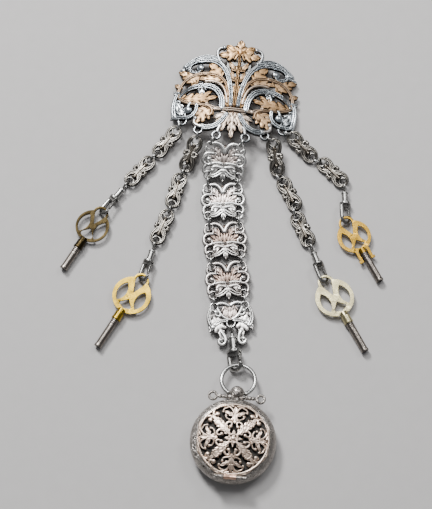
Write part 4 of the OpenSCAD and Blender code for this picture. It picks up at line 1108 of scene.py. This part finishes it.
@dataclass
class Studio:
    """Pale floor, soft light mostly from the upper left, and the camera at the photograph's angle.

    Sizes are in metres here, but for target_mm and the lens.
    """

    board_half: float = 3.0
    target_mm: tuple[float, float, float] = (-2.7, 1.4, 0.0)
    distance: float = 0.83
    elevation: float = 71.0
    lens: float = 120.0

    def floor(self) -> None:
        """Builds the floor."""
        material = bpy.data.materials.new("pale_grey_board")
        material.use_nodes = True
        tree = material.node_tree
        tree.nodes.clear()
        place = add_node(tree, "ShaderNodeTexCoord").outputs["Object"]
        # Matt painted board with a faint mottling some millimetres wide
        mottle = add_node(tree, "ShaderNodeTexNoise", {"Scale": 160.0, "Detail": 4.0}, Vector=place)
        paint = {"data_type": "RGBA", 6: shade_of("#b2b0af"), 7: shade_of("#b8b6b5")}
        tone = add_node(tree, "ShaderNodeMix", paint, i0=mottle.outputs["Fac"]).outputs[2]
        matt = {"Roughness": 0.8, "Specular IOR Level": 0.2}
        shader = add_node(tree, "ShaderNodeBsdfPrincipled", matt, Base_Color=tone)
        add_node(tree, "ShaderNodeOutputMaterial", {}, Surface=shader.outputs["BSDF"])
        mesh = bpy.data.meshes.new("floor")
        half = self.board_half
        corners = [(-half, -half, 0), (half, -half, 0), (half, half, 0), (-half, half, 0)]
        mesh.from_pydata(corners, [], [(0, 1, 2, 3)])
        mesh.materials.append(material)
        board = bpy.data.objects.new("floor", mesh)
        bpy.context.scene.collection.objects.link(board)

    def lamp(self, name: str, at: tuple[float, float, float], size: float, power: float) -> None:
        """Adds a soft lamp that looks at the middle of the table.

        Args:
            name: Its name.
            at: Its place in metres.
            size: Side of its square in metres.
            power: Its power in watts.
        """
        light = bpy.data.lights.new(name, "AREA")
        light.shape = "SQUARE"
        light.size = size
        light.energy = power
        lamp = bpy.data.objects.new(name, light)
        lamp.location = at
        lamp.rotation_euler = (-Vector(at)).to_track_quat("-Z", "Y").to_euler()
        bpy.context.scene.collection.objects.link(lamp)

    def camera(self) -> None:
        """Places the camera at the photograph's angle."""
        data = bpy.data.cameras.new("camera")
        data.lens = self.lens
        data.sensor_fit = "VERTICAL"
        data.sensor_height = 36.0
        data.clip_start = 0.05
        data.clip_end = 10.0
        camera = bpy.data.objects.new("camera", data)
        angle = math.radians(self.elevation)
        away = Vector((0, -math.cos(angle), math.sin(angle))) * self.distance
        camera.location = Vector(self.target_mm) * MM + away
        camera.rotation_euler = (math.radians(90) - angle, 0, 0)
        bpy.context.scene.collection.objects.link(camera)
        bpy.context.scene.camera = camera

    def build(self) -> None:
        """Sets floor, lamps, surroundings and camera."""
        self.floor()
        self.lamp("key_softbox", (-0.4, 0.75, 0.9), 0.28, 21.0)
        self.lamp("overhead_softbox", (-0.08, 0.38, 1.05), 0.42, 6.5)
        self.lamp("right_softbox", (0.6, 0.45, 0.85), 0.3, 3.0)
        world = bpy.data.worlds.new("studio")
        world.use_nodes = True
        back = world.node_tree.nodes["Background"]
        back.inputs["Color"].default_value = shade_of("#d2d3d6")
        back.inputs["Strength"].default_value = 0.3
        bpy.context.scene.world = world
        self.camera()


def solid_finish(name: str) -> Metal | None:
    """The metal of a node that is shown as it is.

    Args:
        name: The node.

    Returns:
        Its metal, or None where a relief stands for it.
    """
    alone = {
        "left_outer_key_bow": DARK_BRONZE,
        "left_inner_key_bow": YELLOW_BRASS,
        "right_inner_key_bow": PALE_BRASS_REFLECTION,
        "right_outer_key_bow": GOLDEN_BRASS,
        "watch_case": CASE_SILVER,
        "watch_inner_plate": INNER_PLATE_SHADE,
    }
    if name.endswith("_pipe") or name == "watch_hinge_pin":
        return KEY_STEEL
    if name.endswith(("_clip", "_gate", "_eye")):
        return TURNED_SILVER
    if "_ring" in name or name in ("watch_bow", "belt_hook"):
        return WIRE_SILVER
    return alone.get(name)


def main() -> None:
    """Builds the studio and every piece in order."""
    logging.basicConfig(level=logging.INFO, format="%(name)s: %(message)s")
    Studio().build()
    Plaque().build()
    white, rosy_shaded = Band(), Band(finish=ROSE_SILVER_SHADED, blush=1.8)
    for name in BAND_PLACES:
        # The lower panels take the copy that is painted darker for shade
        band = rosy_shaded if name in ("band_panel_3", "band_panel_4") else white
        band.build(name)
    link = ScrollLink()
    for name in LINK_PLACES:
        link.build(name)
    WatchCover().build()
    solids = Solids()
    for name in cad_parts:
        metal = solid_finish(name)
        if metal is not None:
            solids.dress(name, metal)


if __name__ == "__main__":
    main()
